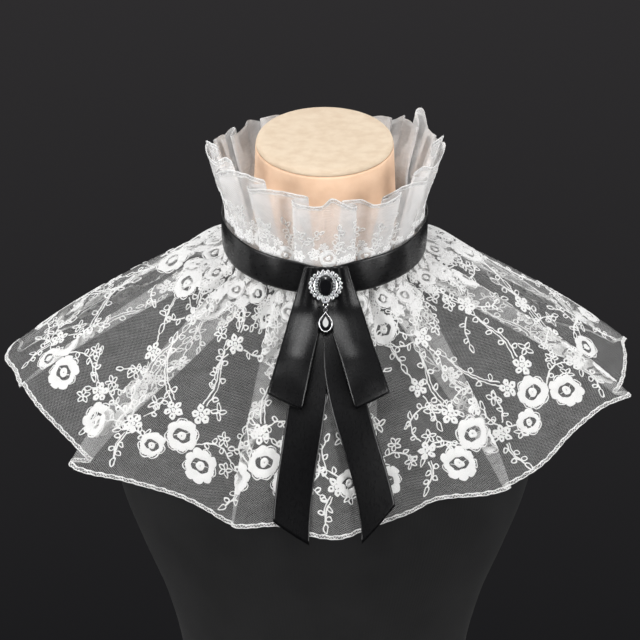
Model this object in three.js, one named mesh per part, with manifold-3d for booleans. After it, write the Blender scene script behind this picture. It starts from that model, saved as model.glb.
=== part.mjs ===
// A pleated lace collar with a ribbon band, a bow and a brooch, worn on a limbless half-body dress form.
// Millimetres. +Z is up and the front faces -Y. The origin is the centre of the form's flat base.
import * as THREE from 'three';
import { mergeVertices } from 'three/addons/utils/BufferGeometryUtils.js';
import Module from 'manifold-3d';

const wasm = await Module();
wasm.setup();

const DEG = Math.PI / 180;
const clamp01 = (t) => Math.min(1, Math.max(0, t));
const mix = (a, b, t) => a + (b - a) * t;
const ease = (t) => clamp01(t) ** 2 * (3 - 2 * clamp01(t));

// Reads a value from rows of [position, value], with a smooth step between rows.
function fromRows(rows, position) {
  const next = rows.findIndex((row) => row[0] >= position);
  if (next === 0) return rows[0][1];
  if (next < 0) return rows[rows.length - 1][1];
  const [p0, v0] = rows[next - 1];
  const [p1, v1] = rows[next];
  return mix(v0, v1, ease((position - p0) / (p1 - p0)));
}

// ---------- the neckline ----------
const BAND_Z = 457; // mean height of the ribbon's middle line
const NECKLINE_RADIUS = 78.8; // outermost net layer behind the ribbon
const NECKLINE_TILT = 13 * DEG; // lower in front than behind
const BACK_SLIT = 6; // width of the opening at centre back
const PIECE_GAP = 0.3; // between two pieces that touch

const BLACK = 0x15141a;
const WHITE = 0xf2efe9;

const neckHeight = (phi) => BAND_Z - NECKLINE_RADIUS * Math.cos(phi) * Math.tan(NECKLINE_TILT);

// A point from its angle around the neck (0 at the front, + towards +X), radius and height.
function around(phi, radius, z) {
  return new THREE.Vector3(radius * Math.sin(phi), -radius * Math.cos(phi), z);
}

function indexed(coordinates, index) {
  const geometry = new THREE.BufferGeometry();
  geometry.setAttribute('position', new THREE.Float32BufferAttribute(coordinates, 3));
  geometry.setIndex(index);
  return geometry;
}

// ---------- cloth walls ----------
// A closed wall around a middle surface given as rows of points.
function wall(rows, thickness) {
  const rowCount = rows.length;
  const count = rows[0].length;
  const faceA = [];
  const faceB = [];
  rows.forEach((row, r) => {
    row.forEach((point, c) => {
      const along = row[Math.min(c + 1, count - 1)].clone().sub(row[Math.max(c - 1, 0)]);
      const down = rows[Math.min(r + 1, rowCount - 1)][c].clone().sub(rows[Math.max(r - 1, 0)][c]);
      const normal = along.cross(down).normalize();
      faceA.push(point.clone().addScaledVector(normal, thickness / 2));
      faceB.push(point.clone().addScaledVector(normal, -thickness / 2));
    });
  });
  const vertices = [...faceA, ...faceB];
  const back = faceA.length;
  const at = (r, c) => r * count + c;
  const index = [];
  const quad = (a, b, c, d) => index.push(a, b, c, a, c, d);
  for (let r = 0; r < rowCount - 1; r += 1) {
    for (let c = 0; c < count - 1; c += 1) {
      const [a, b, e, d] = [at(r, c), at(r, c + 1), at(r + 1, c + 1), at(r + 1, c)];
      quad(a, b, e, d);
      quad(back + a, back + d, back + e, back + b);
    }
    const last = count - 1;
    quad(at(r, 0), at(r + 1, 0), back + at(r + 1, 0), back + at(r, 0));
    quad(at(r, last), back + at(r, last), back + at(r + 1, last), at(r + 1, last));
  }
  for (let c = 0; c < count - 1; c += 1) {
    const low = rowCount - 1;
    quad(at(0, c), back + at(0, c), back + at(0, c + 1), at(0, c + 1));
    quad(at(low, c), at(low, c + 1), back + at(low, c + 1), back + at(low, c));
  }
  return indexed(vertices.flatMap((p) => p.toArray()), index);
}

// ---------- pleats ----------
// One pleat, seen from above: outer layer, fold, middle layer, fold, inner layer.
// across: sideways place as a share of the width, with folds: and a number of fold radii.
// out: height as a share of the fold depth. flat: place once opened, as a share of the width.
// crest: height of the soft wave that is left once opened, as a share of the wave.
const PLEAT_POINTS = [
  { across: -0.5, folds: -1, out: 0.75, flat: -1.5, spread: -1, crest: 0.75 },
  { across: 0, folds: 0, out: 1, flat: -1, spread: -1, crest: 0.95 },
  { across: 0.5, folds: 0, out: 1, flat: -0.5, spread: -1, crest: 1 },
  { across: 0.5, folds: 1, out: 0.75, flat: -0.5, spread: 0, crest: 0.85 },
  { across: 0.5, folds: 0, out: 0.5, flat: -0.5, spread: 1, crest: 0.6 },
  { across: -0.5, folds: 0, out: 0.5, flat: 0.5, spread: -1, crest: 0.3 },
  { across: -0.5, folds: -1, out: 0.25, flat: 0.5, spread: 0, crest: 0.12 },
  { across: -0.5, folds: 0, out: 0, flat: 0.5, spread: 1, crest: 0 },
  { across: 0.5, folds: 0, out: 0, flat: 1.5, spread: 1, crest: 0 },
];
const LAID_FOLD = 1.4; // cloth taken by each fold once it lies flat, in fold radii
const OPEN_AT_END = 0.5; // how far a pleat has opened where its layers stop overlapping

// The places (angle, height off the smooth form) along one row of a pleated strip.
function pleatedRow(pleats, v, style) {
  const depth = style.depth(v);
  const fold = depth / 4;
  const sink = style.sink(v) * depth;
  const runs = pleats.map((pleat) => {
    const middle = mix(pleat.top, pleat.hem, ease(v)) * DEG;
    const open = Math.min(1, (OPEN_AT_END * v) / pleat.end);
    const places = PLEAT_POINTS.map((point) => {
      const shut = point.across * pleat.width + point.folds * fold;
      const laid = point.flat * pleat.width + point.spread * LAID_FOLD * fold;
      const side = mix(shut, laid, open) * pleat.turn;
      const out = mix(point.out * depth, point.crest * style.wave, open);
      return { phi: middle + side / style.radius(middle, v), out };
    });
    return pleat.turn > 0 ? places : places.reverse();
  });
  const slit = Math.PI - BACK_SLIT / 2 / style.radius(Math.PI, v);
  const ends = [[{ phi: -slit, out: 0 }], ...runs, [{ phi: slit, out: 0 }]];
  const row = [...ends[0]];
  for (let i = 1; i < ends.length; i += 1) {
    const from = ends[i - 1].at(-1);
    const to = ends[i][0];
    const swell = Math.min(from.out, to.out) > 0 ? fold : 0;
    style.between.forEach((t) => {
      const out = mix(from.out, to.out, ease(t)) + swell * Math.sin(Math.PI * t);
      row.push({ phi: mix(from.phi, to.phi, t), out });
    });
    row.push(...ends[i]);
  }
  return row.map(({ phi, out }) => ({ phi, out: out - sink }));
}

// ---------- the cape ----------
const CAPE_WALL = 1.2;
// From the ribbon's middle to the hem, by the angle around the neck in degrees.
const CAPE_LENGTH = [
  [-180, 190], [-120, 206], [-92, 219], [-74, 203], [-60, 206], [-46, 193], [-25, 196],
  [-12, 192], [12, 195], [30, 184], [45, 195], [60, 196], [88, 206], [120, 203], [180, 190],
];
const CAPE_SCALLOP = { count: 14, depth: 2 };
const SHOULDER_SHARPNESS = { front: 3.4, back: 2.3 }; // how suddenly the shoulders stand out
const CAPE_SLOPE = { // from the vertical, in degrees, below the ribbon and at the hem
  behindRibbon: 3,
  front: [34, 14],
  side: [67, 52],
  back: [30, 8],
};
const CAPE_BREAK = { from: 12, front: 35, side: 24 }; // where the net turns outward below the ribbon
const CAPE_ROWS = [0, 0.07, 0.15, 0.27, 0.42, 0.6, 0.8, 1];
const CAPE_BETWEEN = [0.25, 0.5, 0.75]; // shares of the way from one pleat to the next
const CAPE_STEPS = 48; // steps along a length when its curve is added up
const NEAR = { angle: 1 * DEG, length: 1 }; // neighbours that a surface direction is taken from
const CAPE_DEPTH = [[0, 6], [0.15, 8], [1, 9.5]]; // pleat depth down the length
const CAPE_SINK = [[0.07, 1], [0.25, 0]]; // behind the ribbon the pleats lie inward
const CAPE_WAVE = 7; // wave that is left at the hem

// top and hem: angle of the pleat's middle at the ribbon and at the hem, in degrees.
// width: its overlap below the ribbon. end: share of the length where the overlap has opened.
// turn: which way it is folded.
const CAPE_PLEATS = [
  { top: -167, hem: -166, width: 15, end: 0.85, turn: -1 },
  { top: -146, hem: -147, width: 18, end: 0.95, turn: -1 },
  { top: -122, hem: -122, width: 22, end: 0.75, turn: -1 },
  { top: -98, hem: -97, width: 21, end: 0.9, turn: -1 },
  { top: -76, hem: -80, width: 20, end: 0.8, turn: -1 },
  { top: -51, hem: -59, width: 28, end: 0.97, turn: -1 },
  { top: -21, hem: -26, width: 20, end: 0.9, turn: -1 },
  { top: 20, hem: 14, width: 14, end: 0.85, turn: 1 },
  { top: 43, hem: 48, width: 30, end: 1, turn: 1 },
  { top: 70, hem: 70, width: 22, end: 0.72, turn: 1 },
  { top: 95, hem: 92, width: 22, end: 0.9, turn: 1 },
  { top: 120, hem: 122, width: 22, end: 0.7, turn: 1 },
  { top: 145, hem: 145, width: 19, end: 0.9, turn: 1 },
  { top: 167, hem: 166, width: 15, end: 0.8, turn: 1 },
];

function shoulderShare(phi) {
  const sharpness = Math.cos(phi) > 0 ? SHOULDER_SHARPNESS.front : SHOULDER_SHARPNESS.back;
  return Math.abs(Math.sin(phi)) ** sharpness;
}

function capeLength(phi) {
  return fromRows(CAPE_LENGTH, phi / DEG) + CAPE_SCALLOP.depth * Math.cos(CAPE_SCALLOP.count * phi);
}

function capeSlope(phi, s, length) {
  const end = Math.cos(phi) > 0 ? CAPE_SLOPE.front : CAPE_SLOPE.back;
  const upper = mix(end[0], CAPE_SLOPE.side[0], shoulderShare(phi));
  const lower = mix(end[1], CAPE_SLOPE.side[1], shoulderShare(phi));
  const breakEnd = mix(CAPE_BREAK.front, CAPE_BREAK.side, shoulderShare(phi));
  const settled = mix(upper, lower, clamp01((s - breakEnd) / (length - breakEnd)));
  const turned = ease((s - CAPE_BREAK.from) / (breakEnd - CAPE_BREAK.from));
  return mix(CAPE_SLOPE.behindRibbon, settled, turned) * DEG;
}

// Radius and height of the smooth cape form, s millimetres below the ribbon's middle.
function capeForm(phi, s) {
  const length = capeLength(phi);
  const step = s / CAPE_STEPS;
  let radius = NECKLINE_RADIUS;
  let z = neckHeight(phi);
  for (let i = 0; i < CAPE_STEPS; i += 1) {
    const slope = capeSlope(phi, (i + 0.5) * step, length);
    radius += Math.sin(slope) * step;
    z -= Math.cos(slope) * step;
  }
  return { radius, z };
}

function capeSurface(phi, s) {
  const { radius, z } = capeForm(phi, s);
  return around(phi, radius, z);
}

// A point out millimetres off the smooth cape form, square to it.
function capePoint(phi, s, out) {
  const across = capeSurface(phi + NEAR.angle, s).sub(capeSurface(phi - NEAR.angle, s));
  const down = capeSurface(phi, s + NEAR.length).sub(capeSurface(phi, s));
  const normal = down.cross(across).normalize();
  return capeSurface(phi, s).addScaledVector(normal, out);
}

function makeCape() {
  const style = {
    depth: (v) => fromRows(CAPE_DEPTH, v),
    sink: (v) => fromRows(CAPE_SINK, v),
    wave: CAPE_WAVE,
    between: CAPE_BETWEEN,
    radius: (phi, v) => capeForm(phi, v * capeLength(phi)).radius,
  };
  const rows = CAPE_ROWS.map((v) => pleatedRow(CAPE_PLEATS, v, style).map(({ phi, out }) => {
    const s = PIECE_GAP / 2 + v * (capeLength(phi) - PIECE_GAP / 2);
    return capePoint(phi, s, out - CAPE_WALL / 2);
  }));
  return wall(rows, CAPE_WALL);
}

// ---------- the ruff ----------
const RUFF_WALL = 1.2;
const RUFF_HEIGHT = 69; // from the ribbon's middle to the top edge
const RUFF_ROWS = [1, 0.72, 0.44, 0.2, 0];
const RUFF_BETWEEN = [0.35, 0.65];
const RUFF_SLOPE = [[0, 2], [0.2, 2], [0.5, 13], [1, 19]]; // from the vertical, in degrees, up the height
const RUFF_DEPTH = [[0, 6], [0.25, 7], [1, 13]];
const RUFF_SINK = [[0.2, 1], [0.8, 0.55]];
const RUFF_WAVE = 6;
const RUFF_STEPS = 24;

// lift: how far the pleat's top stands above or below the others.
const RUFF_PLEATS = [
  { top: -166, hem: -166, width: 15, end: 2.4, turn: -1, lift: -20 },
  { top: -145, hem: -146, width: 14, end: 2.2, turn: -1, lift: -17 },
  { top: -122, hem: -121, width: 16, end: 2.4, turn: -1, lift: -16 },
  { top: -100, hem: -101, width: 14, end: 2.3, turn: -1, lift: -8 },
  { top: -79, hem: -78, width: 14, end: 2.5, turn: -1, lift: -2 },
  { top: -57, hem: -57, width: 16, end: 2.2, turn: -1, lift: 4 },
  { top: -34, hem: -35, width: 15, end: 2.4, turn: -1, lift: 1 },
  { top: -12, hem: -12, width: 14, end: 2.3, turn: -1, lift: -5 },
  { top: 12, hem: 12, width: 14, end: 2.2, turn: 1, lift: -9 },
  { top: 34, hem: 35, width: 16, end: 2.4, turn: 1, lift: -10 },
  { top: 57, hem: 56, width: 14, end: 2.5, turn: 1, lift: -6 },
  { top: 79, hem: 79, width: 14, end: 2.2, turn: 1, lift: -1 },
  { top: 100, hem: 100, width: 16, end: 2.4, turn: 1, lift: -3 },
  { top: 122, hem: 123, width: 14, end: 2.2, turn: 1, lift: -7 },
  { top: 145, hem: 144, width: 15, end: 2.4, turn: 1, lift: -17 },
  { top: 166, hem: 166, width: 15, end: 2.4, turn: 1, lift: -22 },
];

function ruffLift(phi) {
  const degrees = phi / DEG;
  const rows = RUFF_PLEATS.map((pleat) => [pleat.hem, pleat.lift]);
  return fromRows(rows, degrees);
}

// A point out millimetres off the smooth ruff form, at a share v of its height.
function ruffPoint(phi, v, out) {
  const step = (v * (RUFF_HEIGHT + ruffLift(phi))) / RUFF_STEPS;
  let radius = NECKLINE_RADIUS;
  let z = neckHeight(phi) + PIECE_GAP / 2;
  for (let i = 0; i < RUFF_STEPS; i += 1) {
    const slope = fromRows(RUFF_SLOPE, (v * (i + 0.5)) / RUFF_STEPS) * DEG;
    radius += Math.sin(slope) * step;
    z += Math.cos(slope) * step;
  }
  const slope = fromRows(RUFF_SLOPE, v) * DEG;
  return around(phi, radius + out * Math.cos(slope), z - out * Math.sin(slope));
}

function makeRuff() {
  const style = {
    depth: (v) => fromRows(RUFF_DEPTH, v),
    sink: (v) => fromRows(RUFF_SINK, v),
    wave: RUFF_WAVE,
    between: RUFF_BETWEEN,
    radius: (phi, v) => ruffPoint(phi, v, 0).setZ(0).length(),
  };
  const rows = RUFF_ROWS.map((v) => pleatedRow(RUFF_PLEATS, v, style).map(({ phi, out }) => (
    ruffPoint(phi, v, out - RUFF_WALL / 2)
  )));
  return wall(rows, RUFF_WALL);
}

// ---------- the ribbon band ----------
const RIBBON_WALL = 1.2;
const BAND_HEIGHT = 25;
const BAND_RADIUS = 80.7; // its middle surface
const BAND_LAP = { from: 150, to: 168, end: 190, out: 1.8 }; // degrees around, and how far it lies outside
const BAND_STEP = 7.6; // degrees

function makeBand() {
  const columns = Math.round((2 * BAND_LAP.end) / BAND_STEP);
  const heights = [BAND_HEIGHT / 2, -BAND_HEIGHT / 2];
  const rows = heights.map((height) => Array.from({ length: columns + 1 }, (_, c) => {
    const degrees = mix(-BAND_LAP.end, BAND_LAP.end, c / columns);
    const lap = BAND_LAP.out * ease((degrees - BAND_LAP.from) / (BAND_LAP.to - BAND_LAP.from));
    return around(degrees * DEG, BAND_RADIUS + lap, neckHeight(degrees * DEG) + height);
  }));
  return wall(rows, RIBBON_WALL);
}

const BUTTON = { radius: 4.5, thickness: 2.5, sides: 20 };

function makeButton() {
  const geometry = new THREE.CylinderGeometry(BUTTON.radius, BUTTON.radius, BUTTON.thickness, BUTTON.sides);
  const lapFace = BAND_RADIUS + BAND_LAP.out + RIBBON_WALL / 2;
  geometry.translate(0, lapFace + PIECE_GAP + BUTTON.thickness / 2, neckHeight(Math.PI));
  return geometry;
}

// ---------- the bow ----------
const BOW_WALL = 1;
const BOW_LAYER = BOW_WALL + 0.4; // from one ribbon layer to the next
// Height of the lowest ribbon layer off the cape form, down the length.
const BOW_LEVEL = [[4, 2.9], [13, 3.4], [48, 9.7], [200, 10.2]];
const BOW_ACROSS = [-0.5, -0.25, 0, 0.25, 0.5];
const BOW_BENDS = [12, 20, 28, 37, 48]; // rows that all bow pieces share where the cape turns outward

// A value from rows of [position, value], in straight lines.
function alongRows(rows, position) {
  const next = Math.max(1, rows.findIndex((row) => row[0] >= position));
  const [p0, v0] = rows[next - 1];
  const [p1, v1] = rows[next];
  return mix(v0, v1, (position - p0) / (p1 - p0));
}

const bowPoint = (x, s, out) => {
  const { radius } = capeForm(0, s);
  return capePoint(Math.asin(x / (radius + out)), s, out);
};

// Both tails. middle: sideways place of the ribbon's middle down the length. cut: lengths of its two edges.
const TAILS = {
  bow_tail_left: { middle: [[4, -5], [60, -11], [200, -26]], width: 29, cut: [187, 202], layer: 0 },
  bow_tail_right: { middle: [[4, 5], [60, 13], [200, 42]], width: 28, cut: [202, 177], layer: 1 },
};
const TAIL_START = 5;
const TAIL_ROWS = [75, 108, 145];
const TAIL_TOP_WIDTH = 0.62; // gathered behind the brooch, as a share of the width
const TAIL_FULL_WIDTH = 55; // where the tail has its full width

function makeTail(tail) {
  const place = (share, s) => {
    const width = tail.width * mix(TAIL_TOP_WIDTH, 1, ease((s - TAIL_START) / TAIL_FULL_WIDTH));
    const out = fromRows(BOW_LEVEL, s) + tail.layer * BOW_LAYER;
    return bowPoint(fromRows(tail.middle, s) + share * width, s, out);
  };
  const straight = [TAIL_START, ...BOW_BENDS, ...TAIL_ROWS];
  const rows = straight.map((s) => BOW_ACROSS.map((share) => place(share, s)));
  rows.push(BOW_ACROSS.map((share) => place(share, mix(tail.cut[0], tail.cut[1], share + 0.5))));
  return wall(rows, BOW_WALL);
}

// Both loops. Each runs down, turns and comes back up outside itself, onto the ribbon band.
// edges: sideways places of the ribbon's two edges down the length.
const LOOPS = {
  bow_loop_left: {
    edges: [[[-10, -15.4], [120, -48]], [[-10, -1.2], [32, -1.2], [120, -21.2]]],
    length: 97.5,
    slant: 2,
  },
  bow_loop_right: {
    edges: [[[-10, 1.2], [32, 1.2], [120, 30]], [[-10, 17.3], [120, 54.3]]],
    length: 94,
    slant: -7,
  },
};
const LOOP_START = 3;
const LOOP_ENDS = [[-1, 7], [-5, 6.2], [-10, 5.2]]; // outer layer over the band: place and level
const LOOP_LAYER = 2; // layers of tail below
const LOOP_PUFF = [[12, 1.4], [40, 1.6], [75, 4], [100, 5]]; // distance between the loop's two layers
const LOOP_ROWS = [66, 80];
const LOOP_TURN = [150, 90, 30]; // degrees around the fold

function makeLoop(loop) {
  const lastBend = BOW_BENDS.at(-1);
  const place = (share, s, out) => {
    const [left, right] = loop.edges.map((edge) => alongRows(edge, s));
    const drop = loop.slant * share * ease((s - lastBend) / (loop.length - lastBend));
    return bowPoint(mix(left, right, share + 0.5), s + drop, out);
  };
  const base = (s) => fromRows(BOW_LEVEL, s) + LOOP_LAYER * BOW_LAYER;
  const half = fromRows(LOOP_PUFF, loop.length) / 2;
  const turnStart = loop.length - half;
  const down = [LOOP_START, ...BOW_BENDS, ...LOOP_ROWS, turnStart];
  const inner = down.map((s) => BOW_ACROSS.map((share) => place(share, s, base(s))));
  const turn = LOOP_TURN.map((angle) => BOW_ACROSS.map((share) => {
    const s = turnStart + half * Math.sin(angle * DEG);
    return place(share, s, base(s) + half + half * Math.cos(angle * DEG));
  }));
  const outer = [...down].reverse().map((s) => BOW_ACROSS.map((share) => (
    place(share, s, base(s) + fromRows(LOOP_PUFF, s))
  )));
  const ends = LOOP_ENDS.map(([s, out]) => BOW_ACROSS.map((share) => place(share, s, out)));
  return wall([...inner, ...turn, ...outer, ...ends], BOW_WALL);
}

// ---------- the brooch ----------
const BROOCH = { x: 0.6, y: -88.7, z: 436, lean: 17 }; // middle of its back face, and lean in degrees
const PLATE = { halfWidth: 11.6, halfHeight: 10.6, thickness: 1.6, sides: 32 };
const CRYSTALS = {
  count: 16, halfWidth: 11.2, halfHeight: 10.2, // of the ring that they stand on
  radius: 1.8, table: 1, height: 3, sides: 8,
};
const INNER_RIM = { halfWidth: 8.6, halfHeight: 9.3, height: 2.8 };
const STONE = {
  halfWidth: 5.2, halfHeight: 7.4, sides: 16,
  base: 1.9, girdle: 3.2, crown: 4.8, // heights
  foot: 0.9, table: 0.55, // shares of the girdle
};
const TAB = { width: 3.4, height: 3.4, middle: -11.6 };
const JUMP_RING = { radius: 1.7, wire: 0.4, below: 14.4, out: 1.2 };
const BAIL = { radius: 1.6, wire: 0.4, drop: 0.55, tilt: 20 }; // tilt: out from the brooch's plane
const DROP_RING = { radius: 1.3, wire: 0.4, below: 2.4 };
const RING_SIDES = { wire: 6, around: 16 };
const DROP = { top: 3.5, length: 16.6, halfWidth: 5.6, rim: 1.2, thickness: 2.4, floor: 1, steps: 24 };
const DROP_STONE = { height: 3.4, bevel: 1.6 };
const TEAR = { belly: 1.5, point: 0.9, topInset: 1.4, lengthInset: 2.4 }; // shape of the teardrop's outline

const ellipse = (halfWidth, halfHeight, sides, lift = 0) => Array.from({ length: sides }, (_, i) => {
  const angle = (2 * Math.PI * i) / sides;
  return new THREE.Vector3(halfWidth * Math.cos(angle), halfHeight * Math.sin(angle), lift);
});

// A closed solid through rings of equally many points, lowest first.
function loft(rings) {
  const count = rings[0].length;
  const vertices = rings.flat();
  const index = [];
  for (let r = 0; r < rings.length - 1; r += 1) {
    for (let i = 0; i < count; i += 1) {
      const [a, b] = [r * count + i, r * count + ((i + 1) % count)];
      index.push(a, b, b + count, a, b + count, a + count);
    }
  }
  const cap = (ring, start, flip) => {
    const middle = vertices.length;
    vertices.push(ring.reduce((sum, p) => sum.add(p), new THREE.Vector3()).divideScalar(count));
    for (let i = 0; i < count; i += 1) {
      const [a, b] = [start + i, start + ((i + 1) % count)];
      index.push(...(flip ? [middle, b, a] : [middle, a, b]));
    }
  };
  cap(rings[0], 0, true);
  cap(rings.at(-1), (rings.length - 1) * count, false);
  return indexed(vertices.flatMap((p) => p.toArray()), index);
}

function solid(geometry) {
  const bare = geometry.clone();
  bare.deleteAttribute('normal');
  bare.deleteAttribute('uv');
  const merged = mergeVertices(bare);
  return new wasm.Manifold(new wasm.Mesh({
    numProp: 3,
    vertProperties: new Float32Array(merged.getAttribute('position').array),
    triVerts: new Uint32Array(merged.getIndex().array),
  }));
}

function geometryOf(manifold) {
  const mesh = manifold.getMesh();
  return indexed(mesh.vertProperties, [...mesh.triVerts]);
}

const ringWire = ({ radius, wire }) => (
  new THREE.TorusGeometry(radius, wire, RING_SIDES.wire, RING_SIDES.around)
);

function makeBroochSetting() {
  const oval = (halfWidth, halfHeight, low, high, sides = PLATE.sides) => (
    loft([ellipse(halfWidth, halfHeight, sides, low), ellipse(halfWidth, halfHeight, sides, high)])
  );
  let setting = solid(oval(PLATE.halfWidth, PLATE.halfHeight, 0, PLATE.thickness));
  const rim = solid(
    oval(INNER_RIM.halfWidth, INNER_RIM.halfHeight, PLATE.thickness / 2, INNER_RIM.height),
  );
  const seat = solid(oval(
    STONE.halfWidth + PIECE_GAP,
    STONE.halfHeight + PIECE_GAP,
    STONE.base - PIECE_GAP,
    STONE.crown,
    STONE.sides,
  ));
  setting = setting.add(rim).subtract(seat);
  ellipse(CRYSTALS.halfWidth, CRYSTALS.halfHeight, CRYSTALS.count).forEach((middle) => {
    const levels = [
      [CRYSTALS.radius, PLATE.thickness / 2],
      [CRYSTALS.radius, PLATE.thickness],
      [CRYSTALS.table, CRYSTALS.height],
    ];
    const rings = levels.map(([radius, z]) => (
      ellipse(radius, radius, CRYSTALS.sides, z).map((p) => p.add(middle))
    ));
    setting = setting.add(solid(loft(rings)));
  });
  const tab = new THREE.BoxGeometry(TAB.width, TAB.height, PLATE.thickness);
  tab.translate(0, TAB.middle, PLATE.thickness / 2);
  const jump = ringWire(JUMP_RING).translate(0, -JUMP_RING.below, JUMP_RING.out);
  return geometryOf(setting.add(solid(tab)).add(solid(jump)));
}

function makeBroochStone() {
  const share = (k, z) => ellipse(STONE.halfWidth * k, STONE.halfHeight * k, STONE.sides, z);
  return loft([share(STONE.foot, STONE.base), share(1, STONE.girdle), share(STONE.table, STONE.crown)]);
}

// The teardrop's outline, inset from its edge. Its point is at the top.
function tearOutline(inset, lift) {
  const halfWidth = DROP.halfWidth - inset;
  const length = DROP.length - TEAR.lengthInset * inset;
  const top = -DROP.top - TEAR.topInset * inset;
  return Array.from({ length: DROP.steps }, (_, i) => {
    const angle = (2 * Math.PI * i) / DROP.steps + Math.PI / 2;
    const down = (1 - Math.sin(angle)) / 2;
    const filled = Math.sin((Math.PI / 2) * Math.min(1, down * TEAR.belly)) ** TEAR.point;
    const wide = Math.cos(angle) * filled;
    return new THREE.Vector3(halfWidth * wide, top - length * down, lift);
  });
}

const dropBack = -DROP.thickness / 2;

function makeDropSetting() {
  const body = solid(loft([tearOutline(0, dropBack), tearOutline(0, -dropBack)]));
  const seat = solid(loft([
    tearOutline(DROP.rim, dropBack + DROP.floor),
    tearOutline(DROP.rim, DROP.thickness),
  ]));
  const ring = ringWire(DROP_RING).translate(0, -DROP_RING.below, 0);
  return geometryOf(body.subtract(seat).add(solid(ring)));
}

function makeDropStone() {
  const inset = DROP.rim + 2 * PIECE_GAP;
  const low = dropBack + DROP.floor + PIECE_GAP;
  return loft([
    tearOutline(inset, low),
    tearOutline(inset, -dropBack),
    tearOutline(inset + DROP_STONE.bevel, low + DROP_STONE.height - DROP.floor),
  ]);
}

// ---------- the dress form ----------
const FORM_SIDES = 32;
const FORM_SQUARENESS = 2.2; // 2 is an ellipse
// One row for each section: height, half width, depth to the front, depth to the back.
const TORSO_SECTIONS = [
  { z: 0, half: 130, front: 94, back: 86 },
  { z: 80, half: 118, front: 82, back: 76 },
  { z: 140, half: 130, front: 92, back: 80 },
  { z: 195, half: 150, front: 112, back: 92 },
  { z: 235, half: 164, front: 121, back: 100 },
  { z: 270, half: 172, front: 122, back: 104 },
  { z: 300, half: 178, front: 117, back: 107 },
  { z: 330, half: 182, front: 106, back: 109 },
  { z: 350, half: 183, front: 96, back: 106 },
  { z: 370, half: 178, front: 83, back: 101 },
  { z: 383, half: 168, front: 74, back: 96 },
  { z: 393, half: 154, front: 68, back: 91 },
  { z: 402, half: 136, front: 64, back: 87 },
  { z: 410, half: 112, front: 64.5, back: 82 },
  { z: 417, half: 84, front: 59, back: 77 },
  { z: 424, half: 71, front: 58, back: 71 },
  { z: 431, half: 68, front: 58, back: 64 },
];

function makeTorso() {
  const squared = (t) => Math.sign(t) * Math.abs(t) ** (2 / FORM_SQUARENESS);
  return loft(TORSO_SECTIONS.map(({ z, half, front, back }) => (
    ellipse(1, 1, FORM_SIDES).map(({ x, y }) => (
      new THREE.Vector3(half * squared(x), (y > 0 ? back : front) * squared(y), z)
    ))
  )));
}

// Up the neck: height of the ring's middle, its radius, its place to the front and its tilt in degrees.
const NECK_RINGS = [
  { z: 431.3, radius: 60, y: 0.5, tilt: 0 },
  { z: 440, radius: 58.5, y: -0.5, tilt: 0 },
  { z: 465, radius: 56.5, y: -2, tilt: 4 },
  { z: 495, radius: 55, y: -5, tilt: 9 },
  { z: 524.5, radius: 53.5, y: -8, tilt: 13.5 },
];
const CAP = { thickness: 5, dome: 2, edge: 2, shoulder: 0.6 };

function tiltedRing({ z, radius, y, tilt }) {
  const turn = new THREE.Matrix4().makeRotationX(tilt * DEG);
  const place = new THREE.Vector3(0, y, z);
  return ellipse(radius, radius, FORM_SIDES).map((p) => p.applyMatrix4(turn).add(place));
}

function makeCap() {
  const { radius, y, z, tilt } = NECK_RINGS.at(-1);
  const profile = [
    [0, 0],
    [radius - CAP.edge, 0],
    [radius, CAP.edge],
    [radius, CAP.thickness - CAP.edge],
    [radius - CAP.edge, CAP.thickness],
    [radius * CAP.shoulder, CAP.thickness + CAP.dome * CAP.shoulder],
    [0, CAP.thickness + CAP.dome],
  ].map(([r, h]) => new THREE.Vector2(r, h));
  const cap = new THREE.LatheGeometry(profile, FORM_SIDES);
  cap.rotateX(Math.PI / 2);
  cap.translate(0, 0, PIECE_GAP);
  cap.rotateX(tilt * DEG);
  cap.translate(0, y, z);
  return cap;
}

// ---------- the whole ----------
const satin = new THREE.MeshStandardMaterial({ color: BLACK, roughness: 0.35 });
const net = new THREE.MeshStandardMaterial({ color: WHITE, roughness: 0.85, side: THREE.DoubleSide });
const silver = new THREE.MeshStandardMaterial({ color: 0xc9c9cc, roughness: 0.22, metalness: 1 });
const blackStone = new THREE.MeshStandardMaterial({ color: 0x08080a, roughness: 0.05 });
const linen = new THREE.MeshStandardMaterial({ color: 0xe6c6a0, roughness: 0.9 });
const cottonCap = new THREE.MeshStandardMaterial({ color: 0xe0cdb0, roughness: 0.85 });
const jersey = new THREE.MeshStandardMaterial({ color: 0x1b1a1c, roughness: 0.95 });

const collar = new THREE.Group();

function addPiece(parent, name, geometry, material) {
  const mesh = new THREE.Mesh(geometry, material);
  mesh.name = name;
  parent.add(mesh);
  return mesh;
}

addPiece(collar, 'form_torso', makeTorso(), jersey);
addPiece(collar, 'form_neck', loft(NECK_RINGS.map(tiltedRing)), linen);
addPiece(collar, 'form_cap', makeCap(), cottonCap);
addPiece(collar, 'cape', makeCape(), net);
addPiece(collar, 'ruff', makeRuff(), net);
addPiece(collar, 'band', makeBand(), satin);
addPiece(collar, 'back_button', makeButton(), satin);
Object.entries(TAILS).forEach(([name, tail]) => addPiece(collar, name, makeTail(tail), satin));
Object.entries(LOOPS).forEach(([name, loop]) => addPiece(collar, name, makeLoop(loop), satin));

const brooch = new THREE.Group();
brooch.position.set(BROOCH.x, BROOCH.y, BROOCH.z);
brooch.rotation.x = (90 - BROOCH.lean) * DEG;
collar.add(brooch);
addPiece(brooch, 'brooch_setting', makeBroochSetting(), silver);
addPiece(brooch, 'brooch_stone', makeBroochStone(), blackStone);

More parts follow.
